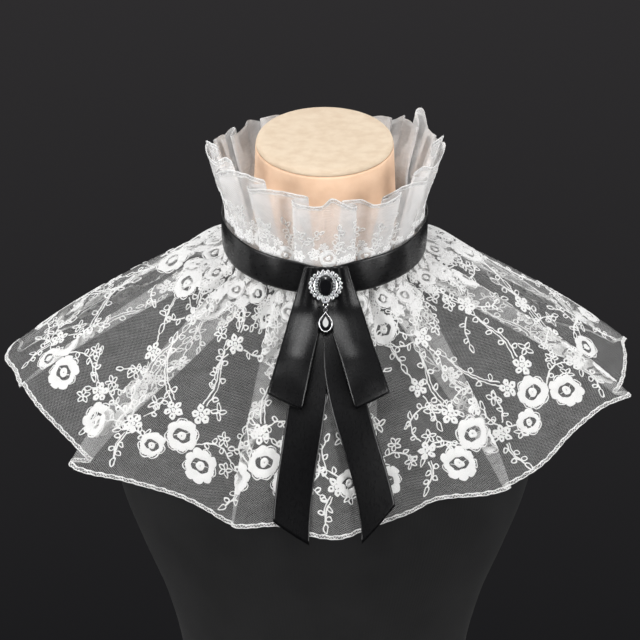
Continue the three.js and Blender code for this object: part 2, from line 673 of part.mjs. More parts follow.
// The bail and the drop hang from the jump ring's lower bar, out from the brooch's own plane.
const hanging = new THREE.Group();
hanging.position.set(0, -(JUMP_RING.below + JUMP_RING.radius), JUMP_RING.out);
hanging.rotation.x = -BAIL.tilt * DEG;
brooch.add(hanging);
const bailRing = ringWire(BAIL).rotateY(Math.PI / 2).translate(0, -BAIL.drop, 0);
addPiece(hanging, 'bail', bailRing, silver);
addPiece(hanging, 'drop_setting', makeDropSetting(), silver);
addPiece(hanging, 'drop_stone', makeDropStone(), blackStone);

export default collar;
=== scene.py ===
import math
import random
import bpy
import numpy as np
from mathutils import Matrix, Vector


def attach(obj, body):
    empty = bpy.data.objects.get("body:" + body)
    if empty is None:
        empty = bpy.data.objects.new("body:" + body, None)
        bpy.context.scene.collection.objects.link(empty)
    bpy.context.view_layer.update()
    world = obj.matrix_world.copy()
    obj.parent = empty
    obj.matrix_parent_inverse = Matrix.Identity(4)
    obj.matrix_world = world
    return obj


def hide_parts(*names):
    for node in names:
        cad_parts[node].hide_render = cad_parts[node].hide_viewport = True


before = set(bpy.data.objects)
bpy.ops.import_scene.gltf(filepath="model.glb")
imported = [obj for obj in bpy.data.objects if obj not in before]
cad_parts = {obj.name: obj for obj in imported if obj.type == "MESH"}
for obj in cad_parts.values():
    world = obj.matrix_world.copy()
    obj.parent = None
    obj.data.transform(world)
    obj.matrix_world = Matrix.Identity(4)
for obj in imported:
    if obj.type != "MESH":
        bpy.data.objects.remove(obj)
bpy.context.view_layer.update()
print("frame loaded:", len(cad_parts), "solids")

# everything is worked out in millimetres and degrees, and set down in metres
mm = 0.001
deg = math.pi / 180
scene = bpy.context.scene


# small helpers
def mix(a, b, t):
    return a + (b - a) * t


def ease(t):
    t = np.clip(t, 0, 1)
    return t * t * (3 - 2 * t)


def fromRows(rows, position):  # rows of (position, value), with a smooth step between rows
    xs, ys = np.array(rows, float).T
    position = np.asarray(position, float)
    i = np.clip(np.searchsorted(xs, position), 1, len(xs) - 1)
    return mix(ys[i - 1], ys[i], ease((position - xs[i - 1]) / (xs[i] - xs[i - 1])))


def pair(x, y):
    return np.stack([x, y], -1)


def turns(count):  # even angles around a circle
    return np.linspace(0, 2 * math.pi, count, endpoint=False)


def circle(t):
    return pair(np.cos(t), np.sin(t))


def around(phi, radius, z):  # phi is 0 at the front and grows towards +X
    return np.stack([radius * np.sin(phi), -radius * np.cos(phi), z + 0 * phi], -1)


def unit(v):
    return v / np.maximum(np.linalg.norm(v, axis=-1, keepdims=True), 1e-9)


def makeMesh(name, points, faces, places=None, smooth=True, body="collar_on_form"):
    # points in millimetres, places: one UV for each point, in metres of cloth
    data = bpy.data.meshes.new(name)
    faces = faces if isinstance(faces, list) else faces.tolist()
    data.from_pydata((np.asarray(points, float).reshape(-1, 3) * mm).tolist(), [], faces)
    data.validate()
    if places is not None:
        layer = data.uv_layers.new(name="cloth")
        corner = np.empty(len(data.loops), np.int32)
        data.loops.foreach_get("vertex_index", corner)
        layer.data.foreach_set("uv", np.asarray(places, np.float32).reshape(-1, 2)[corner].ravel())
    data.polygons.foreach_set("use_smooth", smooth & np.ones(len(data.polygons), bool))
    data.update()
    piece = bpy.data.objects.new(name, data)
    scene.collection.objects.link(piece)
    if body:
        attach(piece, body)
    return piece


def gridFaces(rows, columns, start=0, closed=False):
    r, c = np.meshgrid(np.arange(rows - 1), np.arange(columns if closed else columns - 1), indexing="ij")
    a = start + r * columns + c
    b = start + r * columns + (c + 1) % columns
    return np.stack([a, b, b + columns, a + columns], -1).reshape(-1, 4)


def finish(piece, material, slot, *nodes):  # gives the piece its material and hides the solids it stands in for
    piece.data.materials.clear()
    piece.data.materials.append(material)
    if nodes:
        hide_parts(*nodes)
    return piece


# materials
surfaces = {  # the shader's own sockets for each kind of surface
    "net": {"Roughness": 0.7, "Specular IOR Level": 0.25, "Sheen Weight": 0.2, "Sheen Roughness": 0.4},
    "thread": {"Roughness": 0.5, "Specular IOR Level": 0.4, "Sheen Weight": 0.35, "Sheen Roughness": 0.35},
    "satin": {"Roughness": 0.3, "Specular IOR Level": 0.32, "Anisotropic": 0.4},
    "weave": {"Specular IOR Level": 0.2, "Sheen Roughness": 0.5},
    "silver": {"Metallic": 1.0, "Roughness": 0.24},
    "crystal": {"Metallic": 1.0, "Roughness": 0.3},
    "stone": {"Roughness": 0.03, "Specular IOR Level": 0.8, "Coat Weight": 0.6, "Coat Roughness": 0.02},
    "floor": {"Roughness": 0.7},
}
netLook = {"pitch": 1.15, "angle": 57, "thread": 0.08, "threadAlpha": 0.5, "patches": 35.0}
threadLook = {"stitch": 0.42, "slant": 8, "loose": 900.0, "bump": 0.6}
satinLook = {"color": (0.003, 0.003, 0.0034), "rib": 0.36, "slub": 45.0, "bump": 0.12, "gloss": (0.13, 0.22)}
weaveLook = {"slub": 260.0, "stains": 11.0, "bump": 0.22, "tint": (0.38, 0.6)}


def newMaterial(name, color, surface, **more):
    material = bpy.data.materials.new(name)
    material.use_nodes = True
    shader = material.node_tree.nodes["Principled BSDF"]
    shader.inputs["Base Color"].default_value = (*color, 1)
    for key, value in {**surfaces[surface], **more}.items():
        shader.inputs[key].default_value = value
    return material, material.node_tree, shader


def node(tree, kind, **values):  # values are settings, numbers for the inputs, or sockets to link
    made = tree.nodes.new(kind)
    for key, value in values.items():
        if key not in made.inputs:
            setattr(made, key, value)
        elif isinstance(value, bpy.types.NodeSocket):
            tree.links.new(value, made.inputs[key])
        else:
            made.inputs[key].default_value = value
    return made


def calc(tree, operation, *values):  # a Math node from numbers and sockets
    made = tree.nodes.new("ShaderNodeMath")
    made.operation = operation
    for socket, value in zip(made.inputs, values):
        if isinstance(value, (int, float)):
            socket.default_value = value
        else:
            tree.links.new(value, socket)
    return made.outputs[0]


def noise(tree, scale, detail, roughness=0.5):
    return node(tree, "ShaderNodeTexNoise", Scale=scale, Detail=detail, Roughness=roughness).outputs[0]


def mapRange(tree, value, low, high, toLow=0.0, toHigh=1.0, kind="LINEAR"):
    limits = {"Value": value, "From Min": low, "From Max": high, "To Min": toLow, "To Max": toHigh}
    return node(tree, "ShaderNodeMapRange", interpolation_type=kind, **limits).outputs[0]


def mixColors(tree, share, low, high):
    made = node(tree, "ShaderNodeMix", data_type="RGBA")
    made.inputs[6].default_value = (*low, 1)
    made.inputs[7].default_value = (*high, 1)
    tree.links.new(share, made.inputs[0])
    return made.outputs[2]


def clothPlace(tree):  # along and across the cloth, in millimetres
    place = node(tree, "ShaderNodeUVMap", uv_map="cloth")
    parts = node(tree, "ShaderNodeSeparateXYZ", Vector=place.outputs[0])
    return [calc(tree, "MULTIPLY", parts.outputs[k], 1 / mm) for k in (0, 1)]


def threadLines(tree, place, angle, pitch, share=0.5):  # soft thread lines at an angle across the cloth
    along, across = place
    turned = calc(tree, "ADD", calc(tree, "MULTIPLY", along, math.cos(angle * deg) / pitch),
                  calc(tree, "MULTIPLY", across, math.sin(angle * deg) / pitch))
    away = calc(tree, "ABSOLUTE", calc(tree, "SUBTRACT", calc(tree, "FRACT", turned), 0.5))
    return mapRange(tree, away, share, share * 0.35, kind="SMOOTHSTEP")


def addBump(tree, shader, height, strength, distance):
    bump = node(tree, "ShaderNodeBump", Strength=strength, Distance=distance, Height=height)
    tree.links.new(bump.outputs[0], shader.inputs["Normal"])


def makeNetMaterial(name, color, haze, patchy):
    material, tree, shader = newMaterial(name, color, "net")
    place = clothPlace(tree)
    angle, pitch, share = netLook["angle"], netLook["pitch"], netLook["thread"]
    threads = calc(tree, "MAXIMUM", *(threadLines(tree, place, way * angle, pitch, share) for way in (1, -1)))
    uneven = calc(tree, "MULTIPLY_ADD", noise(tree, netLook["patches"], 2.0), patchy, 1 - patchy / 2)
    alpha = calc(tree, "MULTIPLY", calc(tree, "MULTIPLY_ADD", threads, netLook["threadAlpha"], haze), uneven)
    tree.links.new(alpha, shader.inputs["Alpha"])
    return material


def makeThreadMaterial(name, color, shade):
    material, tree, shader = newMaterial(name, color, "thread")
    stitch = threadLines(tree, clothPlace(tree), threadLook["slant"], threadLook["stitch"])
    height = calc(tree, "MULTIPLY_ADD", noise(tree, threadLook["loose"], 2.0), 0.5, stitch)
    addBump(tree, shader, height, threadLook["bump"], 0.0002)
    # darker where the stitch lines dip: painted shade between the stitches, mixed with random unevenness of
    # the thread
    grooveShadeAndTone = mixColors(tree, mapRange(tree, height, 0.0, 1.0), shade, color)
    tree.links.new(grooveShadeAndTone, shader.inputs["Base Color"])
    return material


def makeSatinMaterial():
    material, tree, shader = newMaterial("blackSatin", satinLook["color"], "satin")
    rib = threadLines(tree, clothPlace(tree), 90, satinLook["rib"])
    slub = noise(tree, satinLook["slub"], 3.0)
    height = calc(tree, "MULTIPLY", calc(tree, "ADD", rib, slub), 0.4)
    addBump(tree, shader, height, satinLook["bump"], 0.0002)
    gloss = calc(tree, "MULTIPLY_ADD", slub, *satinLook["gloss"])
    tree.links.new(gloss, shader.inputs["Roughness"])
    return material


def makeWeaveMaterial(name, color, shade, pitch, roughness, sheen):  # plain weave on the dress form
    more = {"Roughness": roughness, "Sheen Weight": sheen}
    material, tree, shader = newMaterial(name, color, "weave", **more)
    place = clothPlace(tree)
    weave = calc(tree, "MULTIPLY", threadLines(tree, place, 0, pitch), threadLines(tree, place, 90, pitch))
    slub = noise(tree, weaveLook["slub"], 4.0, 0.6)
    stains = noise(tree, weaveLook["stains"], 4.0)
    addBump(tree, shader, calc(tree, "MULTIPLY_ADD", slub, 0.6, weave), weaveLook["bump"], 0.00025)
    patches = calc(tree, "MULTIPLY_ADD", slub, 0.3, calc(tree, "MULTIPLY", stains, 0.7))
    tint = mixColors(tree, mapRange(tree, patches, *weaveLook["tint"]), shade, color)
    tree.links.new(tint, shader.inputs["Base Color"])
    return material


def makeJewelMaterial(name, color, surface, grain, uneven, least):  # metal or stone with an uneven gloss
    material, tree, shader = newMaterial(name, color, surface)
    tree.links.new(calc(tree, "MULTIPLY_ADD", noise(tree, *grain), uneven, least), shader.inputs["Roughness"])
    return material


net = makeNetMaterial("sheerNet", (0.80, 0.795, 0.785), 0.02, 0.7)
# doubled net, denser than the cape's; its lighter colour is painted light, so that the ruff reads as more
# brightly lit
litRuffNet = makeNetMaterial("doubledLitNet", (0.91, 0.9, 0.895), 0.42, 0.4)
# the second colour of each thread is the painted shade between its stitches
thread = makeThreadMaterial("embroideryThread", (0.84, 0.835, 0.825), (0.56, 0.555, 0.545))
# painted light: a lighter copy of the embroidery thread, so that the ruff's embroidery and edging read as
# more brightly lit
litRuffThread = makeThreadMaterial("ruffLitThread", (0.97, 0.965, 0.955), (0.86, 0.855, 0.845))
satin = makeSatinMaterial()
linen = makeWeaveMaterial("formLinen", (0.87, 0.61, 0.43), (0.81, 0.55, 0.375), 0.9, 0.8, 0.1)
capCotton = makeWeaveMaterial("capCotton", (0.70, 0.575, 0.435), (0.63, 0.495, 0.36), 0.8, 0.85, 0.05)
jersey = makeWeaveMaterial("blackJersey", (0.012, 0.012, 0.0125), (0.009, 0.009, 0.0095), 1.1, 0.85, 0.04)
silver = makeJewelMaterial("silverSetting", (0.55, 0.55, 0.56), "silver", (700.0, 3.0), 0.16, 0.16)
crystal = makeJewelMaterial("crystalFacets", (0.97, 0.975, 0.99), "crystal", (700.0, 3.0), 0.16, 0.22)
blackStone = makeJewelMaterial("blackStone", (0.004, 0.004, 0.005), "stone", (400.0, 1.0), 0.04, 0.01)
print("materials made")

# the neckline and the shape of the cape
neckline = {"z": 457, "radius": 78.8, "tilt": 13, "slit": 6}


def neckHeight(phi):
    return neckline["z"] - neckline["radius"] * np.cos(phi) * math.tan(neckline["tilt"] * deg)


capeShape = {
    "length": [(-180, 190), (-120, 206), (-92, 219), (-74, 203), (-60, 206), (-46, 193), (-25, 196),
               (-12, 192), (12, 195), (30, 184), (45, 195), (60, 196), (88, 206), (120, 203), (180, 190)],
    "scallops": 14, "scallopDepth": 2,
    "sharpFront": 3.4, "sharpBack": 2.3,
    "behindRibbon": 3, "front": (34, 14), "side": (67, 52), "back": (30, 8),  # slopes from the vertical
    "breakFrom": 12, "breakFront": 35, "breakSide": 24,
    "depth": [(0, 6), (0.15, 8), (1, 9.5)], "sink": [(0.07, 1), (0.25, 0)],
    "wave": 7, "between": (0.25, 0.5, 0.75), "wall": 1.2,
    "rows": 104, "ripple": 1.1, "hemRipple": 1.2,
}
# of each pleat: middle at the ribbon and at the hem, width, where it has opened, and which way it is folded
capePleats = [
    (-167, -166, 15, 0.85, -1), (-146, -147, 18, 0.95, -1), (-122, -122, 22, 0.75, -1),
    (-98, -97, 21, 0.9, -1), (-76, -80, 20, 0.8, -1), (-51, -60, 28, 1.35, -1), (-21, -26, 20, 0.9, -1),
    (20, 14, 14, 0.85, 1), (43, 48, 30, 1.05, 1), (70, 77, 22, 1.2, 1), (95, 97, 22, 1.3, 1),
    (120, 122, 22, 0.7, 1), (145, 145, 19, 0.9, 1), (167, 166, 15, 0.8, 1),
]
ruffShape = {
    "height": 69, "slope": [(0, 2), (0.2, 2), (0.5, 13), (1, 19)],
    "depth": [(0, 6), (0.25, 7), (1, 13)], "sink": [(0.2, 1), (0.8, 0.55)],
    "wave": 6, "between": (0.35, 0.65), "wall": 1.2,
    "rows": 44, "ripple": 0.9, "hemRipple": 0.8,
}
ruffPleats = [
    (-166, -166, 15, 2.4, -1), (-145, -146, 14, 2.2, -1), (-122, -121, 16, 2.4, -1),
    (-100, -101, 14, 2.3, -1), (-79, -78, 14, 2.5, -1), (-57, -57, 16, 2.2, -1),
    (-34, -35, 15, 2.4, -1), (-12, -12, 14, 2.3, -1),
    (12, 12, 14, 2.2, 1), (34, 35, 16, 2.4, 1), (57, 56, 14, 2.5, 1), (79, 79, 14, 2.2, 1),
    (100, 100, 16, 2.4, 1), (122, 123, 14, 2.2, 1), (145, 144, 15, 2.4, 1), (166, 166, 15, 2.4, 1),
]
# how far each pleat's top stands above the rest
ruffLift = (-20, -17, -16, -8, -2, 4, 1, -5, -9, -10, -6, -1, -3, -7, -17, -22)
# how far the two corners of each pleat's outer layer stand above it, and how far the pleat flares
ruffCorners = ((0, 0, 1), (3, -3, 1.1), (-2, 3, 0.9), (5, -4, 0.9), (-3, 6, 0.8), (6, -5, 1.2),
               (2, -3, 0.9), (-3, -1, 0.8), (6, -1, 0.75), (-2, 3, 0.8), (4, -4, 0.85), (-4, 7, 0.9),
               (6, -5, 0.85), (-5, 10, 1), (4, -3, 1), (0, 0, 1))
capeCorners = ((0, 0, 1), (2, -3, 1), (-3, 3, 1), (4, -5, 1.2), (0, -3, 1), (-2, 9, 1.2), (0, 0, 1),
               (2, -1, 1), (-2, 1, 1), (-3, 7, 1.1), (-4, 6, 1.2), (3, -3, 1), (-2, 2, 1), (0, 0, 1))
# how much of its two corners' rise each point of a pleat takes
cornerShares = ((1, 0), (0.5, 0.4), (0, 1), (0, 0.9), (0, 0.6), (-0.2, -0.4), (-0.1, -0.5), (0, -0.4),
                (0, -0.1))
# across, folds, out, flat, spread, crest: one pleat seen from above, shut and laid open
pleatPoints = [
    (-0.5, -1, 0.75, -1.5, -1, 0.75), (0, 0, 1, -1, -1, 0.95), (0.5, 0, 1, -0.5, -1, 1),
    (0.5, 1, 0.75, -0.5, 0, 0.85), (0.5, 0, 0.5, -0.5, 1, 0.6), (-0.5, 0, 0.5, 0.5, -1, 0.3),
    (-0.5, -1, 0.25, 0.5, 0, 0.12), (-0.5, 0, 0, 0.5, 1, 0), (0.5, 0, 0, 1.5, 1, 0),
]
laidFold = 1.4  # how much wider a fold is when the pleat is laid open
openAtEnd = 0.5
foot = 0.15  # the nets start this far from each other, behind the ribbon


def capeLength(phi):
    scallops = capeShape["scallopDepth"] * np.cos(capeShape["scallops"] * phi)
    return fromRows(capeShape["length"], phi / deg) + scallops


def capeForm(phi, s, steps=48):  # radius and height of the smooth form, s below the ribbon's middle
    phi, s = np.broadcast_arrays(np.asarray(phi, float), np.asarray(s, float))
    isFront = np.cos(phi) > 0
    side = np.abs(np.sin(phi)) ** np.where(isFront, capeShape["sharpFront"], capeShape["sharpBack"])
    slopes = zip(capeShape["front"], capeShape["back"], capeShape["side"])
    upper, lower = (mix(np.where(isFront, front, back), beside, side) for front, back, beside in slopes)
    length = capeLength(phi)
    breakEnd = mix(capeShape["breakFront"], capeShape["breakSide"], side)
    radius = np.full(phi.shape, neckline["radius"])
    z = neckHeight(phi)
    for i in range(steps):
        at = s * (i + 0.5) / steps
        settled = mix(upper, lower, np.clip((at - breakEnd) / (length - breakEnd), 0, 1))
        turned = ease((at - capeShape["breakFrom"]) / (breakEnd - capeShape["breakFrom"]))
        slope = mix(capeShape["behindRibbon"], settled, turned) * deg
        radius = radius + np.sin(slope) * s / steps
        z = z - np.cos(slope) * s / steps
    return radius, z


def capePoint(phi, s, out):  # out millimetres off the smooth form, square to it
    near = 1 * deg
    here = around(phi, *capeForm(phi, s))
    across = around(phi + near, *capeForm(phi + near, s)) - around(phi - near, *capeForm(phi - near, s))
    down = around(phi, *capeForm(phi, s + 1)) - here
    return here + unit(np.cross(down, across)) * np.asarray(out)[..., None]


def ruffPoint(phi, v, out, rise=0.0, steps=24):
    phi, v = np.broadcast_arrays(np.asarray(phi, float), np.asarray(v, float))
    lift = fromRows([(pleat[1], rise) for pleat, rise in zip(ruffPleats, ruffLift)], phi / deg)
    step = v * (ruffShape["height"] + lift + rise) / steps
    radius = np.full(phi.shape, neckline["radius"])
    z = neckHeight(phi) + foot
    for i in range(steps):
        slope = fromRows(ruffShape["slope"], v * (i + 0.5) / steps) * deg
        radius = radius + np.sin(slope) * step
        z = z + np.cos(slope) * step
    slope = fromRows(ruffShape["slope"], v) * deg
    return around(phi, radius + out * np.cos(slope), z - out * np.sin(slope))


def pleatedRow(pleats, corners, shape, v, radiusAt):  # angle, height off the form and rise along a row
    depth = float(fromRows(shape["depth"], v))
    fold = depth / 4
    middles = np.array([mix(p[0], p[1], float(ease(v))) * deg for p in pleats])
    radii = radiusAt(middles, v)
    slit = math.pi - neckline["slit"] / 2 / float(radiusAt(np.array([math.pi]), v)[0])
    runs = []
    for pleat, (left, right, flare), middle, radius in zip(pleats, corners, middles, radii):
        width, end, turn = pleat[2:5]
        opened = min(1, openAtEnd * v / end)
        flared = mix(1, flare, float(ease(v)))
        places = []
        for (across, folds, out, flat, spread, crest), (a, b) in zip(pleatPoints, cornerShares):
            shut = across * width + folds * fold
            laid = flat * width + spread * laidFold * fold
            side = mix(shut, laid, opened) * turn
            height = mix(out * depth, crest * shape["wave"], opened) * flared
            places.append((middle + side / radius, height, a * left + b * right))
        runs.append(places if turn > 0 else places[::-1])
    row = [(-slit, 0, 0)]
    for run in runs + [[(slit, 0, 0)]]:
        (phiA, outA, riseA), (phiB, outB, riseB) = row[-1], run[0]
        swell = fold if min(outA, outB) > 0 else 0
        for t in shape["between"]:
            soft = float(ease(t))
            out = mix(outA, outB, soft) + swell * math.sin(math.pi * t)
            row.append((mix(phiA, phiB, t), out, mix(riseA, riseB, soft)))
        row += run
    row = np.array(row)
    return row[:, 0], row[:, 1] - float(fromRows(shape["sink"], v)) * depth, row[:, 2]


def soften(line):  # cuts the corners of every row, so that folds are round and never cross
    near = 0.75 * line[:, :-1] + 0.25 * line[:, 1:]
    far = 0.25 * line[:, :-1] + 0.75 * line[:, 1:]
    inner = np.stack([near, far], -1).reshape(len(line), -1)
    return np.concatenate([line[:, :1], inner, line[:, -1:]], 1)


def ripple(phi, v, size, seed):  # slow unevenness, alike in all layers at one place
    draw = random.Random(seed)
    total = 0 * phi
    for count in (5, 8, 13, 21, 34):
        start, drift = draw.uniform(0, 6.3), draw.uniform(-3, 3)
        total = total + math.sqrt(5 / count) * np.sin(count * phi + start + v * drift)
    return size * total * 0.5


def makeCloth(pleats, corners, shape, radiusAt, pointAt, seed):
    # points of the pleated cloth by row, and each point's place along the cloth as a share of its length
    v = np.linspace(0, 1, shape["rows"])
    rows = [pleatedRow(pleats, corners, shape, x, radiusAt) for x in v]
    phi, out, rise = (soften(soften(np.array(part))) for part in zip(*rows))
    v = np.broadcast_to(v[:, None], phi.shape)
    out = out + ripple(phi, v, shape["ripple"], seed) * ease((v - 0.15) / 0.6)
    rise = rise + ripple(phi, 0 * v, shape["hemRipple"], seed + 1)
    points = pointAt(phi, v, out - shape["wall"] / 2, rise)
    steps = np.linalg.norm(np.diff(points, axis=1), axis=2)
    along = np.concatenate([np.zeros((len(points), 1)), np.cumsum(steps, 1)], 1)
    length = float(along[-1, -1])
    share = along / along[:, -1:]
    return {"points": points, "share": share, "v": v, "length": length}


def clothLookup(cloth, count=3600):  # the cloth with even steps along, for laying stitches on it
    shares = np.linspace(0, 1, count)
    even = np.stack([np.stack([np.interp(shares, s, row[:, k]) for k in range(3)], -1)
                     for s, row in zip(cloth["share"], cloth["points"])])
    across = np.gradient(even, axis=1)
    down = np.gradient(even, axis=0)
    cloth["even"] = even
    cloth["normal"] = unit(np.cross(across, down)) * cloth["side"]


def onCloth(cloth, along, down, lift):  # along and down in millimetres of cloth
    rows, columns = cloth["even"].shape[:2]
    x = np.clip(along / cloth["length"], 0, 1) * (columns - 1.001)
    y = np.clip(down / cloth["drop"], 0, 1) * (rows - 1.001)
    i, j = y.astype(int), x.astype(int)
    fy, fx = (y - i)[:, None], (x - j)[:, None]

    def blend(grid):
        return mix(mix(grid[i, j], grid[i, j + 1], fx), mix(grid[i + 1, j], grid[i + 1, j + 1], fx), fy)

    return blend(cloth["even"]) + unit(blend(cloth["normal"])) * lift[:, None]


def clothSheet(name, cloth, material, nodeName):
    rows, columns = cloth["points"].shape[:2]
    places = pair(cloth["share"] * cloth["length"], cloth["v"] * cloth["drop"]) * mm
    piece = makeMesh(name, cloth["points"], gridFaces(rows, columns), places)
    return finish(piece, material, "net", nodeName)


def capeRadius(phi, v):
    return capeForm(phi, v * capeLength(phi))[0]


def capeAt(phi, v, out, rise):
    return capePoint(phi, foot + v * (capeLength(phi) + rise * v - foot), out)


def ruffRadius(phi, v):
    return np.linalg.norm(ruffPoint(phi, v, 0.0)[..., :2], axis=-1)


def ruffAt(phi, v, out, rise):
    return ruffPoint(phi, v, out, rise * v)


# drop: the depth of the strip in millimetres, side: which way the outside faces
capeCloth = makeCloth(capePleats, capeCorners, capeShape, capeRadius, capeAt, 3)
capeCloth.update(drop=200.0, side=-1)
clothLookup(capeCloth)
cape = clothSheet("capeNet", capeCloth, net, "cape")
ruffCloth = makeCloth(ruffPleats, ruffCorners, ruffShape, ruffRadius, ruffAt, 8)
ruffCloth.update(drop=70.0, side=1)
clothLookup(ruffCloth)
ruff = clothSheet("litRuffNet", ruffCloth, litRuffNet, "ruff")
print("net laid in pleats: cape %.0f mm and ruff %.0f mm along" % (capeCloth["length"], ruffCloth["length"]))


# embroidery: strips of satin stitch laid on the cloth
class Stitches:
    def __init__(self):
        self.spots, self.faces, self.places, self.count = [], [], [], 0

    def strip(self, left, right, closed=False, height=0.45, levels=(0, 0.2, 0.8, 1)):
        # a raised strip between two lines of equally many points
        left, right = np.asarray(left, float), np.asarray(right, float)
        n, k = len(left), len(levels)
        middle = (left + right) / 2
        steps = np.linalg.norm(np.diff(middle, axis=0, append=middle[:1] if closed else middle[-1:]), axis=1)
        along = np.concatenate([[0], np.cumsum(steps)[:-1]])
        lifts = [0.1 if t in (0, 1) else height for t in levels]
        spots = np.stack([np.concatenate([mix(left, right, t), (h + np.zeros(n))[:, None]], 1)
                          for t, h in zip(levels, lifts)])
        self.spots.append(spots.reshape(-1, 3))
        self.faces.append(gridFaces(k, n, self.count, closed))
        wide = np.linalg.norm(right - left, axis=1)
        self.places.append(np.stack([pair(along, wide * t) for t in levels]).reshape(-1, 2) * mm)
        self.count += n * k

    def cord(self, line, width, closed=False, height=0.5):
        line = np.asarray(line, float)
        ahead = np.roll(line, -1, 0) - np.roll(line, 1, 0) if closed else np.gradient(line, axis=0)
        side = sideways(ahead) * width / 2
        self.strip(line - side, line + side, closed, height, (0, 0.5, 1))


def sideways(ahead):
    return unit(pair(-ahead[:, 1], ahead[:, 0]))


def smoothLine(points, step=2.2):  # an even curve through a few points
    points = np.asarray(points, float)
    ends = np.concatenate([[2 * points[0] - points[1]], points, [2 * points[-1] - points[-2]]])
    curve = []
    for a, b, c, d in zip(ends, ends[1:], ends[2:], ends[3:]):
        count = max(2, int(np.linalg.norm(c - b) / step))
        for t in np.arange(count) / count:
            curve.append(0.5 * (2 * b + (c - a) * t + (2 * a - 5 * b + 4 * c - d) * t ** 2
                                + (3 * b - a - 3 * c + d) * t ** 3))
    curve.append(points[-1])
    return np.array(curve)


class Placed:  # draws in a motif's own millimetres and sets it on the cloth, turned and mirrored
    def __init__(self, layers, x, y, angle=0, flip=1, size=1):
        self.layers, self.x, self.y, self.flip, self.size = layers, x, y, flip, size
        self.c, self.s = math.cos(angle * deg), math.sin(angle * deg)

    def at(self, points):
        x, y = (np.asarray(points, float) * self.size * np.array([self.flip, 1])).T
        return pair(self.x + x * self.c - y * self.s, self.y + x * self.s + y * self.c)

    def cord(self, points, width=1.05, closed=False):
        self.layers["Stems"].cord(self.at(points), width, closed)

    def filled(self, left, right, height=0.45, levels=(0, 0.2, 0.8, 1)):  # satin stitch around a closed shape
        self.layers["Flowers"].strip(self.at(left), self.at(right), True, height, levels)


def ray(x, y, angle, r):
    return x + r * math.cos(angle * deg), y + r * math.sin(angle * deg)


def heading(ahead):
    return math.degrees(math.atan2(ahead[1], ahead[0]))


bloomLook = {"lobe": 0.17, "reach": (0.8, 1.12), "apart": (0.45, 1.1), "edge": 0.45, "tooth": 0.5,
             "ring": (0.43, 0.08), "eye": 0.25, "height": 0.52, "outline": 0.9}
daisyLook = {"large": 7.5, "out": 0.61, "petal": (1.12, 0.96), "reach": (0.35, 0.02), "eyelet": 0.085,
             "middle": 0.22, "tooth": 0.25, "height": 0.5}


def bloom(work, x, y, r, petals, turn):  # a wide scalloped flower with a half open ring and a round eye
    look = bloomLook
    draw = random.Random(round(100 * r + petals + 10 * turn + 7 * abs(x)))
    count = petals * 8
    t = turns(count)
    ring = circle(t)
    along = petals * t / 2 + turn
    lobe = np.abs(np.sin(along)) ** 0.5
    petal = (along / math.pi).astype(int) % petals
    reach = np.array([draw.uniform(*look["reach"]) for _ in range(petals)])[petal]
    apart = np.array([draw.random() < look["apart"][0] for _ in range(petals)])[petal]
    tooth = np.arange(count) % 2
    rim = r * (1 - look["lobe"] + look["lobe"] * lobe * reach)
    # on some petals the outline stands apart from the filling
    body = rim - look["edge"] - look["tooth"] * tooth - look["apart"][1] * apart * lobe ** 2
    inner = r * (look["ring"][0] + look["ring"][1] * np.cos(2 * t + turn)) + 0.3 * tooth
    centre = np.array([x, y])
    work.filled(centre + ring * inner[:, None], centre + ring * body[:, None], look["height"] - 0.3 * tooth)
    work.cord(centre + ring * (rim - 0.4)[:, None], look["outline"], True)
    work.filled(centre + ring[::2] * 0.03 * r, centre + ring[::2] * look["eye"] * r, 0.5)
    for k in range(2):  # threads across the open ring
        angle = k * 180 + 90 * turn + draw.uniform(-30, 30)
        work.cord([ray(x, y, angle, 0.24 * r), ray(x, y, angle + 5, 0.46 * r)], 0.5)


def daisy(work, x, y, r, petals, turn):  # a small flower of round petals, each with an eyelet
    look = daisyLook
    t = turns(10)
    petals = 5 if r > look["large"] else petals
    tooth = np.arange(10) % 2
    long, wide = circle(t).T * np.array(look["petal"])[:, None]
    for k in range(petals):
        out = turn + 360 * k / petals
        c, s = math.cos(out * deg), math.sin(out * deg)
        centre = np.array(ray(x, y, out, look["out"] * r))
        oval = pair(long * c - wide * s, long * s + wide * c)
        reach = (look["reach"][0] + look["reach"][1] * (k % 3)) * r - look["tooth"] * tooth
        work.filled(centre + oval * look["eyelet"] * r, centre + oval * reach[:, None],
                    look["height"] - 0.2 * tooth, (0, 0.5, 1))
    centre, ring = np.array([x, y]), circle(t)
    work.filled(centre + ring * 0.03 * r, centre + ring * look["middle"] * r, look["height"], (0, 0.5, 1))


def leaf(work, x, y, angle, length, width, stem=0):  # an open pointed loop
    x, y = ray(x, y, angle, stem)
    t = turns(12)
    down = (1 - np.cos(t)) / 2 * length
    side = np.sin(t) * width / 2 * (0.75 + 0.35 * np.cos(t / 2) ** 2)
    c, s = math.cos(angle * deg), math.sin(angle * deg)
    work.cord(pair(x + down * c - side * s, y + down * s + side * c), closed=True)


def clover(work, x, y, r, leaves, turn):
    for k in range(leaves):
        leaf(work, x, y, turn + 360 * k / leaves, r, r * 0.62, 0.8)


def twig(work, points, loops, spread, tip=8.5):  # two cords that meet in a pointed loop, with small loops
    line = smoothLine(points)
    n = len(line)
    ahead = np.gradient(line, axis=0)
    side = sideways(ahead)
    apart = (spread / 2 * (1 - np.linspace(0, 1, n) ** 1.6))[:, None]
    work.cord(line - side * apart)
    work.cord(line + side * apart)
    leaf(work, *line[-1], heading(ahead[-1]), tip, tip * 0.48)
    for k in range(loops):
        i = int(n * (k + 1.1) / (loops + 1.1))
        way = 1 if k % 2 else -1
        leaf(work, *(line[i] + side[i] * apart[i] * way), heading(ahead[i]) + way * 62, 4.8, 3.9, 0.9)


